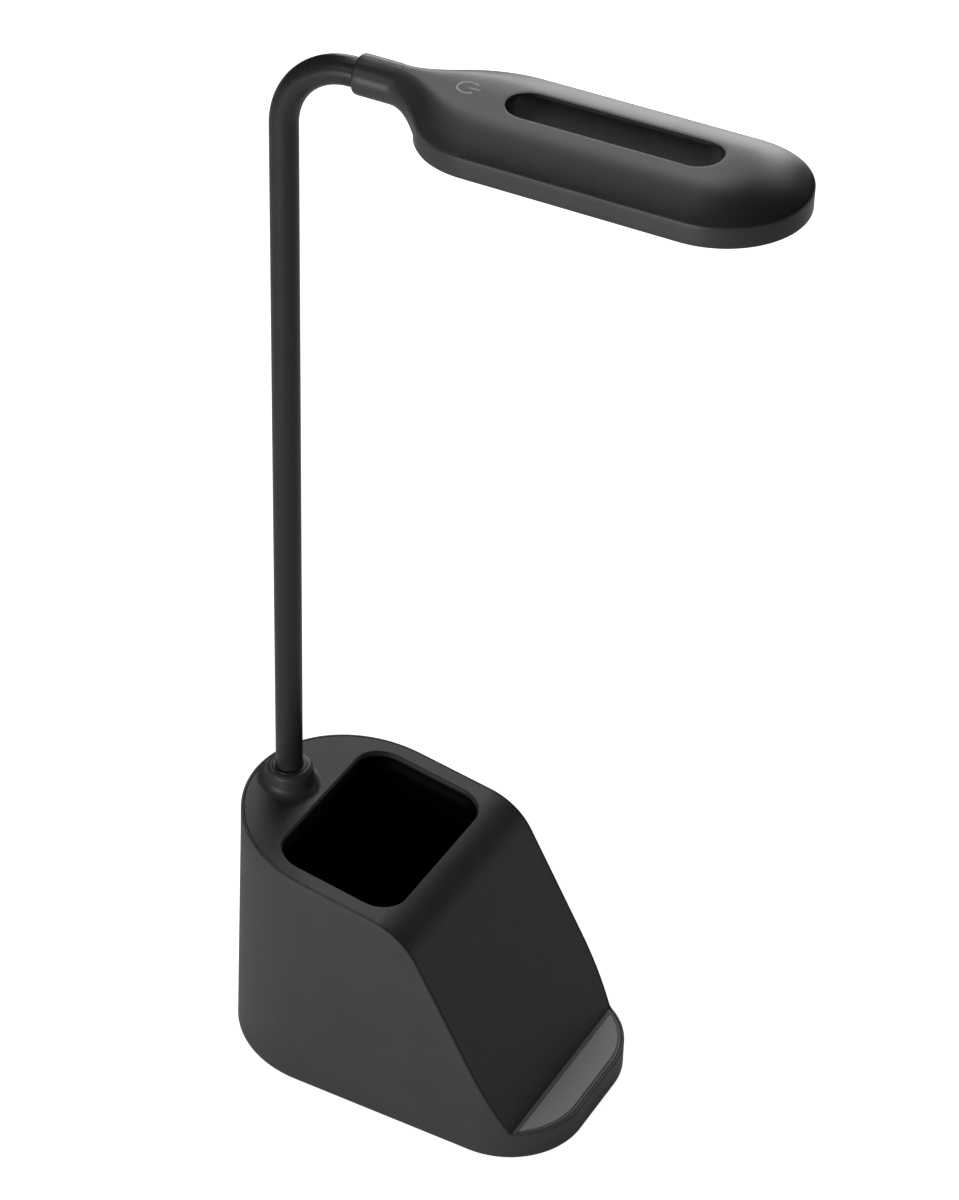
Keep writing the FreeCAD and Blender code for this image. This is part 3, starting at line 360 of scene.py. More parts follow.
# base: its plan, side profile, wall and rim
base = {
    "frontCorner": 31 * mm, "sideStart": 6 * mm, "rearLean": 3.3 * mm, "leanHeight": 112 * mm,
    "ledgeHeight": 12.2 * mm, "ledgeDepth": 15.8 * mm, "creaseRadius": 2.5 * mm,
    "shoulderHeight": 92.4 * mm, "shoulderRadius": 25 * mm,
    "slope": math.radians(60.8), "tilt": math.radians(9.1),
    "rim": 0.95 * mm, "rimOuterRound": 0.5 * mm, "rimInnerRound": 0.1 * mm,
    "wall": 2.2 * mm, "coverThickness": 2.0 * mm, "footRound": 0.5 * mm}
halfWidth, frontX, footZ = shellHigh.y, shellHigh.x, shellLow.z
rearX = halfWidth - frontX
creaseX = frontX - base["ledgeDepth"]
shoulderX = creaseX - (base["shoulderHeight"] - base["ledgeHeight"]) / math.tan(base["slope"])
shoulderRun = base["shoulderRadius"] * math.tan((base["slope"] - base["tilt"]) / 2)
shoulderRear = shoulderX - shoulderRun * math.cos(base["tilt"])
shoulderFront = shoulderX + shoulderRun * math.cos(base["slope"])
creaseRun = base["creaseRadius"] * math.tan(base["slope"] / 2)
creaseLow = creaseX + creaseRun
creaseHigh = creaseX - creaseRun * math.cos(base["slope"])


# height of the side profile and its slope angle at x
def profile(x):
    if x <= shoulderRear:
        return base["shoulderHeight"] + (shoulderX - x) * math.tan(base["tilt"]), base["tilt"]
    if x < shoulderFront:
        radius = base["shoulderRadius"]
        sine = (x - shoulderRear) / radius + math.sin(base["tilt"])
        arcTop = base["shoulderHeight"] + shoulderRun * math.sin(base["tilt"])
        low = arcTop - radius * math.cos(base["tilt"])
        return low + radius * math.sqrt(1 - sine * sine), math.asin(sine)
    if x <= creaseHigh:
        return base["ledgeHeight"] + (creaseX - x) * math.tan(base["slope"]), base["slope"]
    if x < creaseLow:
        radius = base["creaseRadius"]
        sine = (creaseLow - x) / radius
        return base["ledgeHeight"] + radius * (1 - math.sqrt(1 - sine * sine)), math.asin(sine)
    return base["ledgeHeight"], 0.0


# stations round the plan: a point of the outline, the way out of it and how much it leans
def planStations():
    stations = []
    for turn in spread(2 * quarter, 3 * quarter, 30):
        out = Vector((math.cos(turn), math.sin(turn), 0))
        stations.append((Vector((rearX, 0, 0)) + out * halfWidth, out, 1.0))
    corner = frontX - base["frontCorner"]
    alongSide = spread(rearX + base["sideStart"], shoulderRear, 6)
    alongSide += spread(shoulderRear, shoulderFront, 16)[1:] + spread(shoulderFront, corner, 10)[1:-1]
    for x in alongSide:
        stations.append((Vector((x, -halfWidth, 0)), Vector((0, -1, 0)), 0.0))
    middle = Vector((corner, base["frontCorner"] - halfWidth, 0))
    turns = [math.acos((x - corner) / base["frontCorner"])
             for x in spread(corner, creaseHigh, 8) + spread(creaseHigh, creaseLow, 8)[1:]]
    turns += spread(turns[-1], 0, 18)[1:]
    for turn in turns:
        out = Vector((math.cos(turn), -math.sin(turn), 0))
        stations.append((middle + out * base["frontCorner"], out, 0.0))
    for y in (middle.y / 2, 0):
        stations.append((Vector((frontX, y, 0)), Vector((1, 0, 0)), 0.0))
    return stations


def planPoint(station, inset, z):
    point, out, lean = station
    moved = point - out * inset
    return Vector((moved.x + lean * base["rearLean"] * (z - footZ) / base["leanHeight"], moved.y, z))


# a point under the side profile, measured square to it; the lean settles in four passes
def underProfile(station, inset, depth):
    z = profile(station[0].x)[0]
    for _ in range(4):
        spot = planPoint(station, inset, z)
        z, angle = profile(spot.x)
    return Vector((spot.x - math.sin(angle) * depth, spot.y, z - math.cos(angle) * depth))


def housingWall():
    outer, inner = roundedCorner(base["rimOuterRound"]), roundedCorner(base["rimInnerRound"])
    foot = roundedCorner(base["footRound"])
    rows = []
    for station in planStations():
        row = [planPoint(station, base["wall"], footZ)]
        row += [planPoint(station, inset, footZ + up) for inset, up in foot]
        top = underProfile(station, 0, base["rimOuterRound"])
        for share in spread(0, 1, 8)[1:-1]:
            row.append(planPoint(station, 0, mix(footZ + base["footRound"], top.z, share)))
        row += [underProfile(station, inset, depth) for inset, depth in reversed(outer)]
        row += [underProfile(station, base["rim"] - inset, depth) for inset, depth in inner]
        row += [underProfile(station, base["rim"], base["coverThickness"]),
                underProfile(station, base["wall"], base["coverThickness"])]
        rows.append(row)
    return skinsTogether("housing", [(wholeLoop(rows), True, True)])


# stadium in the rear wall for the charging socket, flared to a soft mouth
socket = {"room": 0.3 * mm, "flareEnd": 0.2 * mm, "outside": 4 * mm, "inside": 2 * mm}


def socketCutter():
    low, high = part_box("charge_socket")
    tall, wide = (high.z - low.z) / 2, (high.y - low.y) / 2
    rows = []
    for x, grow in ((low.x - socket["outside"], socket["outside"]), (low.x + socket["flareEnd"], 0),
                    (high.x + socket["inside"], 0)):
        row = []
        for turn in spread(0, 4 * quarter, 32)[:-1]:
            side = math.copysign(wide - tall, math.cos(turn))
            radius = tall + socket["room"] + grow
            row.append(Vector((x, side + radius * math.cos(turn),
                               (low.z + high.z) / 2 + radius * math.sin(turn))))
        rows.append(row)
    return closeEnds(skinsTogether("socketCutter", [(rows, False, True)]))


def cutSocket(piece):
    cutter = socketCutter()
    opening = piece.modifiers.new("socket opening", "BOOLEAN")
    opening.operation = "DIFFERENCE"
    opening.object = cutter
    opening.solver = "EXACT"
    piece = bake(piece)
    bpy.data.objects.remove(cutter)
    return piece


dress(cutSocket(housingWall()), "housing", "base", "outer_shell")
print("housing made")

edgeRounds = {
    "top_cover": 0.25 * mm, "ledge_pad": 0.3 * mm, "bottom_plate": 0.3 * mm, "base_pad": 0.4 * mm,
    "counterweight": 0.6 * mm, "battery_cell": 0.4 * mm, "battery_cradle": 0.3 * mm,
    "control_board": 0.1 * mm, "charge_socket": 0.08 * mm, "neck_clamp": 0.3 * mm,
    "neck_nut": 0.3 * mm, "diffuser": 0.2 * mm, "led_board": 0.1 * mm, "touch_electrode": 0.1 * mm}
for name, width in edgeRounds.items():
    softEdges(frame["nodes"][name], width)
print("edges softened")


# pen cup, hanging under the cover
cup ={"corner": 11 * mm, "wall": 1.6 * mm, "floorRound": 3 * mm, "floorLoop": 10 * mm}


# rounded rectangle, drawn in by an inset, with a height for each of its points
def cupLoop(inset, height):
    radius = cup["corner"] + cup["wall"] - inset
    row = []
    for side, up, start in ((1, 1, 0), (-1, 1, 1), (-1, -1, 2), (1, -1, 3)):
        x = (cupHigh.x if side > 0 else cupLow.x) - side * (inset + radius)
        y = (cupHigh.y if up > 0 else cupLow.y) - up * (inset + radius)
        for turn in spread(start * quarter, (start + 1) * quarter, 10):
            spot = Vector((x + radius * math.cos(turn), y + radius * math.sin(turn), 0))
            spot.z = height(spot)
            row.append(spot)
    return row


# from the middle of the underside, up the outside, over the edge and down to the floor's middle
def penCup():
    wall, turn = cup["wall"], cup["floorRound"]
    floor = cupLow.z + wall

    def below(spot):
        return profile(spot.x)[0] - base["coverThickness"]

    rows = [cupLoop(inset, lambda p: cupLow.z) for inset in (cup["floorLoop"], 0)]
    rows += [cupLoop(0, lambda p: mix(cupLow.z, below(p), s)) for s in spread(0, 1, 6)[1:]]
    rows += [cupLoop(wall, lambda p: mix(below(p), floor + turn, s)) for s in spread(0, 1, 10)]
    for away, up in reversed(roundedCorner(turn, 6)[:-1]):
        rows.append(cupLoop(wall + away, lambda p: floor + up))
    rows.append(cupLoop(cup["floorLoop"], lambda p: floor))
    first, last = (Vector(((cupLow.x + cupHigh.x) / 2, 0, z)) for z in (cupLow.z, floor))
    rows = [[first] * len(rows[0])] + rows + [[last] * len(rows[0])]
    return skinsTogether("penCup", [(rows, False, True)])


dress(penCup(), "cup", "base", "pen_cup")
print("pen cup made")


# thin ring where the neck leaves its boss
ring ={"bore": 5.15 * mm, "edge": 0.3 * mm, "sides": 64}


def neckRing():
    outer, inner, edge = ringHigh.y, ring["bore"], roundedCorner(ring["edge"])
    section = [(inner, ringLow.z), (outer, ringLow.z)]
    section += [(outer - down, ringHigh.z - away) for away, down in edge]
    section += [(inner + away, ringHigh.z - down) for away, down in edge]
    rows = [[Vector((neckX + r * math.cos(turn), r * math.sin(turn), z)) for r, z in section]
            for turn in spread(0, 4 * quarter, ring["sides"])[:-1]]
    return skinsTogether("neckRing", [(rows, True, True)])


dress(neckRing(), "ring_plastic", "base", "neck_ring")


# neck: one soft sleeve, made in a length for each hinge
neck ={"radius": 5.1 * mm, "wall": 1.1 * mm, "bendRadius": 26.6 * mm, "sides": 48,
        "step": 1.5 * mm, "fewestSteps": 6, "sharp": math.radians(40)}
hinges = frame["joints"]
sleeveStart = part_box("neck_sleeve_root")[0].z
bendZ = [j for j in hinges if j["name"] == "bend_1_tilt"][0]["pos_m"][2]
bendX = neckX + neck["bendRadius"]
straightLength = bendZ - sleeveStart
arcLength = neck["bendRadius"] * quarter
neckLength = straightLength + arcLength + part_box("neck_sleeve_head")[1].x - bendX


# the neck's middle line by length: straight up, quarter bend, straight on to the head
def neckPoint(s):
    if s <= straightLength:
        return Vector((neckX, 0, sleeveStart + s))
    turn = min((s - straightLength) / neck["bendRadius"], quarter)
    past = max(s - straightLength - arcLength, 0)
    way = Vector((-math.cos(turn), 0, math.sin(turn)))
    return Vector((bendX + past, 0, bendZ)) + way * neck["bendRadius"]


def hingeAt(hinge):
    x, _, z = hinge["pos_m"]
    if z <= bendZ + 0.01 * mm:
        return z - sleeveStart
    return straightLength + neck["bendRadius"] * math.atan2(z - bendZ, bendX - x)


def sleeveTree():
    tree = bpy.data.node_groups.new("sleeve along a path", "GeometryNodeTree")
    face = tree.interface
    face.new_socket("Geometry", in_out="INPUT", socket_type="NodeSocketGeometry")
    for name in ("Radius", "Wall"):
        face.new_socket(name, in_out="INPUT", socket_type="NodeSocketFloat")
    face.new_socket("Sides", in_out="INPUT", socket_type="NodeSocketInt")
    face.new_socket("Material", in_out="INPUT", socket_type="NodeSocketMaterial")
    face.new_socket("Geometry", in_out="OUTPUT", socket_type="NodeSocketGeometry")
    given = addNode(tree, "NodeGroupInput")
    inner = addNode(tree, "ShaderNodeMath", {"operation": "SUBTRACT"}, {
        0: given.outputs["Radius"], 1: given.outputs["Wall"]})
    joined = addNode(tree, "GeometryNodeJoinGeometry")
    for radius in (given.outputs["Radius"], inner.outputs[0]):
        circle = addNode(tree, "GeometryNodeCurvePrimitiveCircle", sockets={
            "Resolution": given.outputs["Sides"], "Radius": radius})
        skinned = addNode(tree, "GeometryNodeCurveToMesh", sockets={
            "Curve": given.outputs["Geometry"], "Profile Curve": circle.outputs["Curve"]})
        tree.links.new(skinned.outputs[0], joined.inputs[0])
    real = addNode(tree, "GeometryNodeRealizeInstances", sockets={"Geometry": joined.outputs[0]})
    painted = addNode(tree, "GeometryNodeSetMaterial", sockets={
        "Geometry": real.outputs[0], "Material": given.outputs["Material"]})
    addNode(tree, "NodeGroupOutput", sockets={"Geometry": painted.outputs[0]})
    return tree


def setInputs(modifier, tree, values):
    sockets = {item.name: item.identifier for item in tree.interface.items_tree
               if getattr(item, "in_out", "") == "INPUT"}
    for name, value in values.items():
        modifier[sockets[name]] = value


def nearEnd(edge, s):
    middle = (edge.verts[0].co + edge.verts[1].co) / 2
    return (middle - neckPoint(s)).length < 2 * neck["radius"]


# joins the inner and outer skin of a sleeve at its two ends and keeps those rims crisp
def closeRims(piece, ends):
    work = bmesh.new()
    work.from_mesh(piece.data)
    rims = [e for e in work.edges if e.is_boundary]
    for s in ends:
        bmesh.ops.bridge_loops(work, edges=[e for e in rims if nearEnd(e, s)])
    bmesh.ops.recalc_face_normals(work, faces=work.faces)
    for f in work.faces:
        f.smooth = True
    for e in work.edges:
        if len(e.link_faces) == 2 and e.calc_face_angle(0) > neck["sharp"]:
            e.smooth = False
    work.to_mesh(piece.data)
    work.free()


def sleeveLength(name, start, end, tree):
    line = bpy.data.curves.new(name, "CURVE")
    line.dimensions = "3D"
    line.twist_mode = "MINIMUM"
    count = max(int((end - start) / neck["step"]), neck["fewestSteps"])
    spline = line.splines.new("POLY")
    spline.points.add(count)
    for k, s in enumerate(spread(start, end, count)):
        spline.points[k].co = (*neckPoint(s), 1)
    piece = bpy.data.objects.new(name, line)
    bpy.context.scene.collection.objects.link(piece)
    modifier = piece.modifiers.new("sleeve", "NODES")
    modifier.node_group = tree
    setInputs(modifier, tree, {"Radius": neck["radius"], "Wall": neck["wall"], "Sides": neck["sides"],
                               "Material": sleeveSilicone})
    piece = bake(piece)
    closeRims(piece, (start, end))
    return piece


# each length lies over its hinge, within the room that the next cut, boss or collar leaves
def neckSleeve():
    tree, last = sleeveTree(), len(hinges) - 1
    bodies = frame["record"]["behaviour"]["bodies"]
    at = [hingeAt(h) for h in hinges]
    cuts = [0] + [(a + b) / 2 for a, b in zip(at, at[1:])] + [neckLength]
    for k, hinge in enumerate(hinges):
        parent, child = hinge["parent"], hinge["child"]
        piece = sleeveLength(f"neckSleeve{k + 1}", cuts[k], cuts[k + 1], tree)
        covered = [n for body in ((parent, child) if k == last else (parent,))
                   for n in bodies[body] if "sleeve" in n]
        dress(piece, "neck_silicone", None, *covered)
        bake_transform(piece)


neckSleeve()
print("neck made")


# head: round collar, waist and domed shell with its slot; the collar's end runs from its bore
# outward, as distances from the rear and radii
head = {
    "edge": 39.6 * mm, "edgeTilt": math.radians(35), "domeHeight": 7.4 * mm, "shelf": 0.25 * mm,
    "wall": 1.5 * mm, "shellCorner": 0.4 * mm, "shellLift": 0.6 * mm, "tuck": 0.8 * mm,
    "seam": 0.35 * mm, "seamFade": (2 * mm, 9 * mm),
    "collar": 7.0 * mm, "collarHeight": 8.9 * mm, "waist": (39.8 * mm, 21.8 * mm), "saddle": 0.62,
    "collarEnd": ((5 * mm, 5.25 * mm), (0.1 * mm, 5.25 * mm), (0, 5.35 * mm), (0.12 * mm, 5.5 * mm),
                  (0.4 * mm, 6.8 * mm), (0.8 * mm, 6.95 * mm)), "collarPlain": 1.2 * mm,
    "slotRear": 1.4 * mm, "slotFront": 0.45 * mm, "slotHalf": 7.9 * mm, "slotRound": 0.9 * mm,
    "slotMargin": 4 * mm, "slotFoot": 0.3 * mm}
half = bandHigh.y
headRear, headFront = bandLow.x + half, bandHigh.x - half
bottomZ, bandTop = bandLow.z, bandHigh.z
topZ = bandTop + head["domeHeight"]
collarZ = bottomZ + head["collarHeight"]
# the dome's section: a tight edge arc from the band, then a wide crown arc from the knee
cornerTurn = quarter - head["edgeTilt"]
edgeY = half - head["shelf"] - head["edge"] * math.cos(cornerTurn)
edgeZ = bandTop - head["edge"] * math.sin(cornerTurn)
edgeRise = topZ - edgeZ
crown = (edgeY ** 2 + edgeRise ** 2 - head["edge"] ** 2) / (2 * (edgeRise - head["edge"]))
kneeTurn = math.acos(edgeY / (crown - head["edge"]))
# above this turn the crown is made in rings round the slot
splitTurn = math.radians(68)
slotRadius, slotEdge = head["slotHalf"], head["slotHalf"] + head["slotRound"]
slotEnds = (headRear + head["slotRear"] + slotRadius, headFront - head["slotFront"] - slotRadius)
spoonStart, spoonEnd = headRear - head["waist"][0], headRear - head["waist"][1]
# where the crown's ribs end and its rings begin, and how far round the slot's end that lies
cutX, cutShare = headRear - 7 * mm, 0.55


# half width of the head in plan: collar, hollow of the spoon, round end, straight side
def halfWidthAt(x):
    if x <= spoonStart:
        return head["collar"]
    if x < spoonEnd:
        length, away = spoonEnd - spoonStart, headRear - spoonEnd
        t, wide = (x - spoonStart) / length, math.sqrt(half ** 2 - away ** 2)
        start = (1 + 2 * t) * (1 - t) ** 2
        return head["collar"] * start + wide * (1 - start) + t * t * (t - 1) * length * away / wide
    if x < headRear:
        return math.sqrt(half ** 2 - (x - headRear) ** 2)
    return half


def shareAt(x):
    return (halfWidthAt(x) - head["collar"]) / (half - head["collar"])


# the rise of a section runs ahead of its width, so that the waist is a flat saddle
def riseShare(x):
    return shareAt(x) ** head["saddle"]


# the seam fades in behind the spoon, where shell and band part
def seamShare(x):
    start, end = head["seamFade"]
    return smooth(x, spoonEnd + start, spoonEnd + end)


# round collar and domed head mixed by the way their surfaces face
def sectionPoint(x, turn, flat, up, inset):
    corner = head["shellCorner"]
    if turn <= 0:
        y = half - corner + corner * math.cos(turn) if turn > -quarter else (half - corner) * flat
        z = bottomZ + head["shellLift"] + corner + corner * math.sin(turn)
        if turn == 0:
            z = mix(z, bandTop, up)
    elif turn < kneeTurn:
        arc = max(turn, cornerTurn)
        y, z = edgeY + head["edge"] * math.cos(arc), edgeZ + head["edge"] * math.sin(arc)
    else:
        y, z = crown * math.cos(turn), topZ - crown + crown * math.sin(turn)
    y = mix(head["collar"] * math.cos(turn), y, shareAt(x)) - inset
    return y, mix(collarZ + head["collar"] * math.sin(turn), z, riseShare(x))


def crownHeight(x, across):
    share, lift = shareAt(x), riseShare(x)
    arc, level, offset = crown, topZ - crown, 0
    if across > mix(head["collar"], crown, share) * math.cos(kneeTurn):
        arc, level, offset = head["edge"], edgeZ, edgeY * share
    radius, tall = mix(head["collar"], arc, share), mix(head["collar"], arc, lift)
    reach = math.sqrt(max(radius ** 2 - (across - offset) ** 2, 0))
    return mix(collarZ, level, lift) + reach * tall / radius


def shellHeight(x, y):
    across = math.hypot(x - headFront, y) if x > headFront else abs(y)
    return crownHeight(x, across)


# steps up a rib: turn round the section, share of the flat underside, share up the side, seam inset
lowSteps = [(-quarter, f, 0, 1) for f in spread(0, 1, 3)]
lowSteps += [(a, 1, 0, 1) for a in spread(-quarter, 0, 8)[1:-1]]
lowSteps += [(0, 1, 0, 1), (0, 1, 0.5, 1), (0, 1, 0.9, 1), (0, 1, 0.975, 0.35)]
lowSteps += [(a, 1, 1, 0) for a in spread(0.02, cornerTurn, 8) + spread(cornerTurn, splitTurn, 5)[1:]]
crownSteps = [(a, 1, 1, 0) for a in spread(splitTurn, kneeTurn, 8)[1:] + spread(kneeTurn, quarter, 5)[1:]]


# one rib of the shell; its low edge stays tucked inside the band
def shellRib(x, steps, place):
    seam, hidden = head["seam"] * seamShare(x), half - head["tuck"]
    away = min(abs(x - headRear), hidden) if x < headRear else 0
    least = math.sqrt(hidden ** 2 - away ** 2) if x > headRear - hidden else 0
    row = []
    for turn, flat, up, inset in steps:
        y, z = sectionPoint(x, turn, flat, up, seam * inset)
        row.append(place(max(y, least) if turn < 0 else y, z))
    return row


def headShell():
    steps = lowSteps + crownSteps
    rear = []
    for away, radius in head["collarEnd"]:
        x, scale = collarRear + away, radius / head["collar"]
        rear.append(shellRib(x, steps, lambda y, z: Vector((x, y * scale, mix(collarZ, z, scale)))))
    plain = spread(collarRear + head["collarPlain"], spoonStart, 6)
    for x in plain + spread(spoonStart, cutX, 40)[1:]:
        rear.append(shellRib(x, steps, lambda y, z: Vector((x, y, z))))
    strip = [shellRib(x, lowSteps, lambda y, z: Vector((x, y, z)))
             for x in spread(cutX, headRear, 8)[:-1] + spread(headRear, headFront, 36)]
    for turn in spread(0, quarter, 26)[1:]:
        out = Vector((math.sin(turn), math.cos(turn), 0))
        strip.append(shellRib(headFront, lowSteps, lambda y, z: Vector((headFront, 0, z)) + out * y))
    outer = rear[-1][:len(lowSteps) - 1:-1] + [row[-1] for row in strip]
    parts = []
    for rows in (rear, strip, crownRings(outer)):
        parts += [(rows, False, False), (otherSide(rows), False, False)]
    shell = skinsTogether("headShell", parts)
    thick = shell.modifiers.new("wall", "SOLIDIFY")
    thick.thickness = head["wall"]
    thick.offset = -1
    thick.use_even_offset = False
    return bake(shell)


# half outline of the slot by share, from its rear end to its front end
def slotPoint(share, radius):
    rearEnd, frontEnd = slotEnds
    arc, run = radius * quarter, frontEnd - rearEnd
    s = share * (2 * arc + run)
    if arc <= s < arc + run:
        return rearEnd + s - arc, radius
    end, turn = rearEnd, math.pi - s / radius
    if s > arc:
        end, turn = frontEnd, quarter - (s - arc - run) / radius
    return end + radius * math.cos(turn), radius * math.sin(turn)


# share of the slot's outline that faces each point of the crown's outer edge
def facingShares(outer):
    along = [0]
    for a, b in zip(outer, outer[1:]):
        along.append(along[-1] + (b - a).length)
    arc, run, margin = slotEdge * quarter, slotEnds[1] - slotEnds[0], head["slotMargin"]
    lastAtCut = max(k for k, p in enumerate(outer) if abs(p.x - cutX) < 0.001 * mm)
    keys = [(0, 0), (along[lastAtCut], arc * cutShare)]
    rearFlat = [s for s, p in zip(along, outer) if p.x > slotEnds[0] + margin][0]
    frontFlat = [s for s, p in zip(along, outer) if p.x > slotEnds[1] - margin][0]
    keys += [(rearFlat, arc + margin), (frontFlat, arc + run - margin), (along[-1], 2 * arc + run)]
    shares = []
    for s in along:
        a, b, c, d = [(*low, *high) for low, high in zip(keys, keys[1:]) if s <= high[0] + 1e-9][0]
        shares.append(mix(b, d, (s - a) / (c - a)) / (2 * arc + run))
    return shares


# rings from the crown's outer edge in to the slot, over its round and down its wall
def crownRings(outer):
    shares = facingShares(outer)
    mouth = [slotPoint(s, slotEdge) for s in shares]
    rings = [outer]
    for share in spread(0, 1, 9)[1:]:
        spots = [(mix(point.x, x, share), mix(point.y, y, share)) for point, (x, y) in zip(outer, mouth)]
        rings.append([Vector((x, y, shellHeight(x, y))) for x, y in spots])
    edge, foot = rings[-1], head["slotFoot"]
    for away, down in roundedCorner(head["slotRound"], 5)[1:]:
        spots = [slotPoint(s, slotRadius + away) for s in shares]
        rings.append([Vector((*spot, p.z - down)) for spot, p in zip(spots, edge)])
    top = rings[-1]
    for share in spread(0, 1, 6)[1:]:
        rings.append([Vector((p.x, p.y, mix(p.z, bottomZ + foot, share))) for p in top])
    for away, up in ((0.1 * mm, 0.08 * mm), (foot, 0)):
        rings.append([Vector((*slotPoint(s, slotRadius + away), bottomZ + up)) for s in shares])
    return rings


dress(headShell(), "head_plastic", "head", "head_shell")
print("head shell made")


# upright band under the dome with the lip that carries the diffuser
band = {"wall": 2.5 * mm, "lip": 1.2 * mm, "lipHeight": 0.6 * mm, "edge": 0.25 * mm, "lipEdge": 0.1 * mm,
        "tuck": 0.15 * mm}


def headBand():
    edge, small, arcs = band["edge"], band["lipEdge"], roundedCorner(band["edge"])
    wall, lip, lipZ = band["wall"], band["wall"] + band["lip"], bottomZ + band["lipHeight"]
    outline = [(inset, bottomZ + up) for inset, up in arcs]
    outline += [(0, mix(bottomZ + edge, bandTop - edge, s)) for s in spread(0, 1, 4)[1:-1]]
    outline += [(inset, bandTop - down) for inset, down in reversed(arcs)]
    outline += [(wall - inset, bandTop - down) for inset, down in arcs]
    outline += [(wall, lipZ), (lip - small, lipZ), (lip, lipZ - small),
                (lip, bottomZ + small), (lip - small, bottomZ)]
    places = [(headRear, a) for a in spread(2 * quarter, quarter, 40)]
    places += [(x, quarter) for x in spread(headRear, headFront, 12)[1:-1]]
    places += [(headFront, a) for a in spread(quarter, 0, 40)]
    rows = []
    for x, angle in places:
        out = Vector((math.cos(angle), math.sin(angle), 0))
        reach = half - band["tuck"] * (1 - seamShare(x + half * out.x))
        rows.append([Vector((x, 0, z)) + out * (reach - inset) for inset, z in outline])
    return skinsTogether("headBand", [(wholeLoop(rows), True, True)])


dress(headBand(), "head_plastic", "head", "head_frame")


# printed touch symbol, lying on the curved shell
symbol = {"stroke": 0.72 * mm, "thick": 0.04 * mm, "opening": math.radians(42), "barStart": 0.4 * mm}
# section of a printed line in halves of its width and in its thickness
inkSection = ((-1, -1), (-1, 0.6), (-0.8, 1), (0.8, 1), (1, 0.6), (1, -1))


def inkPoint(x, y, up):
    return Vector((x, y, shellHeight(x, y) + up * symbol["thick"]))


def touchSymbol():
    low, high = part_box("touch_symbol")
    outer, line = (high.y - low.y) / 2, symbol["stroke"] / 2
    middle = low.x + outer
    arc = []
    for turn in spread(symbol["opening"], 4 * quarter - symbol["opening"], 48):
        radii = [(outer - line + across * line, up) for across, up in inkSection]
        arc.append([inkPoint(middle + r * math.cos(turn), r * math.sin(turn), up) for r, up in radii])
    bar = [[inkPoint(x, across * line, up) for across, up in inkSection]
           for x in spread(middle + symbol["barStart"], high.x, 10)]
    return closeEnds(skinsTogether("touchSymbol", [(arc, False, True), (bar, False, True)]))


dress(touchSymbol(), "symbol_print", "head", "touch_symbol")
print("head made")


# camera as fitted to the photograph; focal length, centre and size are in its pixels
camera = {"place": Vector((524.7, -965.3, 1019.9)) * mm, "turn": math.radians(30.35),
          "down": math.radians(37.01), "focal": 3863.36, "centre": (331.93, 641.28),
          "size": (959, 1200), "film": 36}


def addCamera():
    data = bpy.data.cameras.new("camera")
    eye = bpy.data.objects.new("camera", data)
    bpy.context.scene.collection.objects.link(eye)
    wide, tall = camera["size"]
    data.sensor_width = camera["film"]
    data.lens = data.sensor_width * camera["focal"] / tall
    data.shift_x = (wide / 2 - camera["centre"][0]) / tall
    data.shift_y = (camera["centre"][1] - tall / 2) / tall
    data.clip_start, data.clip_end = 0.05, 20
    turn, down = camera["turn"], camera["down"]
    ahead = Vector((-math.sin(turn) * math.cos(down), math.cos(turn) * math.cos(down), -math.sin(down)))
    eye.location = camera["place"]
    eye.rotation_mode = "QUATERNION"
    eye.rotation_quaternion = ahead.to_track_quat("-Z", "Y")
    bpy.context.scene.camera = eye


# name, compass turn and height angle in degrees as seen from the lamp, size in metres, watts
softBoxes = (("low soft box, rear", 105, 4, (0.45, 0.45), 1.4),
             ("tall soft box, rear", 110, 20, (0.9, 0.45), 4.9),
             ("upper soft box, rear", 118, 52, (0.5, 0.5), 2.9),
             ("side soft box, rear", 90, 38, (0.45, 0.45), 1.1),
             ("soft box overhead", 160, 68, (0.5, 0.5), 1.0),
             ("left soft box", 238, 38, (0.4, 0.4), 1.0),
             ("low soft box, right", 260, 4, (0.9, 0.5), 11.6),
             ("low soft box, front", 42, 4, (0.5, 0.5), 0.9))
studio = {"aim": Vector((0, 0, 0.2)), "distance": 1.6, "floorReach": 3.0, "floorGlow": 0.11,
          "whiteForCamera": 0.85}


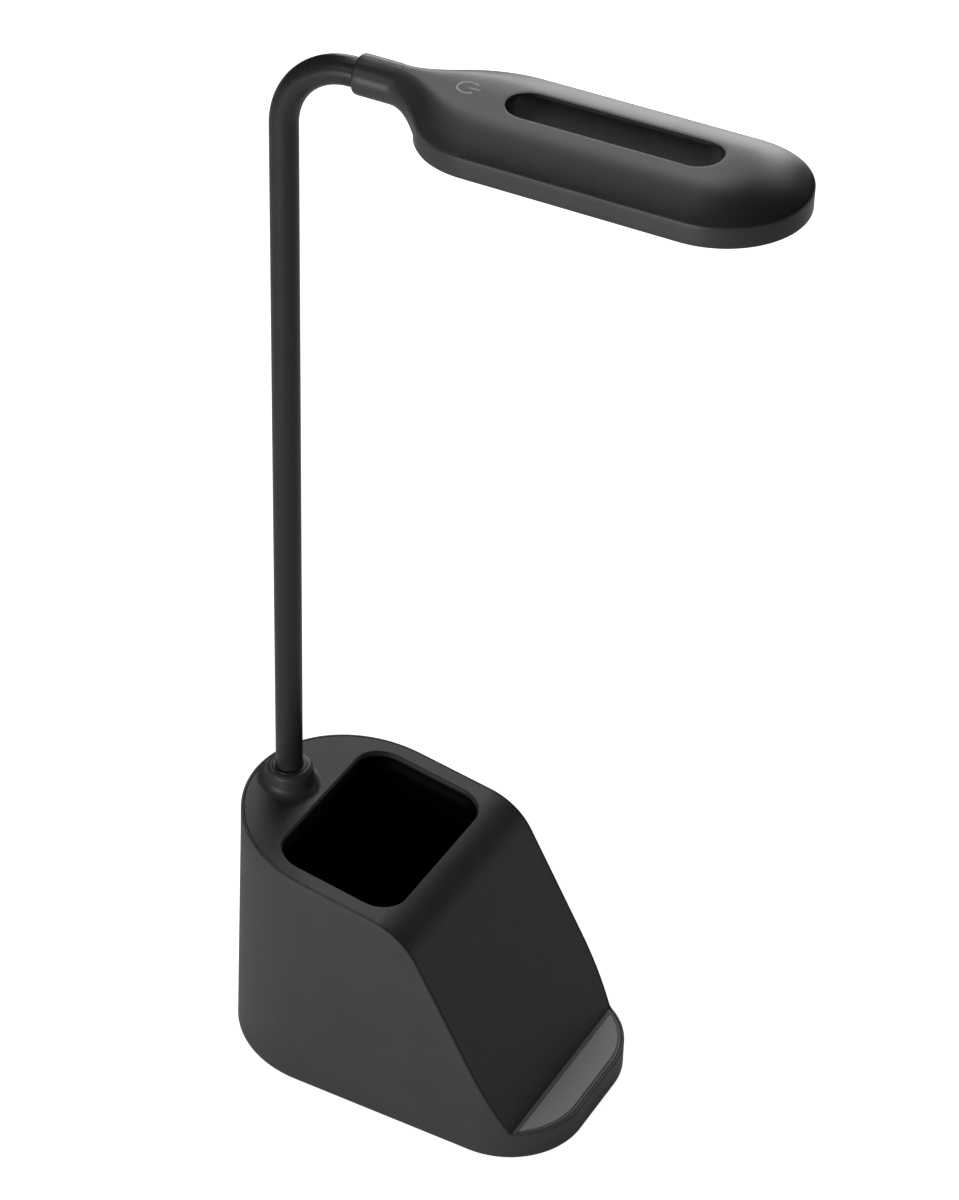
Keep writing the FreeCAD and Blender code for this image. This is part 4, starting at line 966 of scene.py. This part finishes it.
def addLight(name, turn, rise, size, power):
    turn, rise, aim = math.radians(turn), math.radians(rise), studio["aim"]
    way = Vector((math.cos(turn) * math.cos(rise), math.sin(turn) * math.cos(rise), math.sin(rise)))
    data = bpy.data.lights.new(name, "AREA")
    data.shape = "RECTANGLE"
    data.size, data.size_y = size
    data.energy = power
    lamp = bpy.data.objects.new(name, data)
    lamp.location = aim + way * studio["distance"]
    lamp.rotation_mode = "QUATERNION"
    lamp.rotation_quaternion = (aim - lamp.location).to_track_quat("-Z", "Y")
    bpy.context.scene.collection.objects.link(lamp)


# pale floor that keeps the shadow; the camera sees a glow added, which makes it white
def addFloor():
    material, tree, shader, _ = newMaterial("white studio floor")
    shader.inputs["Base Color"].default_value = linear("#e8e8e8")
    shader.inputs["Roughness"].default_value = 0.9
    shader.inputs["Emission Color"].default_value = (1, 1, 1, 1)
    shader.inputs["Emission Strength"].default_value = studio["floorGlow"]
    glow = addNode(tree, "ShaderNodeEmission", sockets={"Strength": studio["whiteForCamera"]})
    glow.inputs["Color"].default_value = (1, 1, 1, 1)
    white = addNode(tree, "ShaderNodeAddShader", sockets={0: shader.outputs[0], 1: glow.outputs[0]})
    seen = addNode(tree, "ShaderNodeLightPath")
    mixed = addNode(tree, "ShaderNodeMixShader", sockets={
        0: seen.outputs["Is Camera Ray"], 1: shader.outputs[0], 2: white.outputs[0]})
    tree.links.new(mixed.outputs[0], tree.nodes["Material Output"].inputs["Surface"])
    reach = studio["floorReach"]
    corners = [(-reach, -reach, 0), (reach, -reach, 0), (reach, reach, 0), (-reach, reach, 0)]
    floor = finishMesh("floor", corners, [(0, 1, 2, 3)])
    floor.data.materials.append(material)


# white for the camera alone; the lamp is lit by the soft boxes and the floor
def addRoom():
    world = bpy.data.worlds.new("white room")
    bpy.context.scene.world = world
    world.use_nodes = True
    sky = world.node_tree
    back = sky.nodes["Background"]
    back.inputs["Color"].default_value = (1, 1, 1, 1)
    seen = addNode(sky, "ShaderNodeLightPath")
    sky.links.new(seen.outputs["Is Camera Ray"], back.inputs["Strength"])
    bpy.context.scene.view_settings.view_transform = "Standard"


addCamera()
addFloor()
addRoom()
for box in softBoxes:
    addLight(*box)
print("studio made")
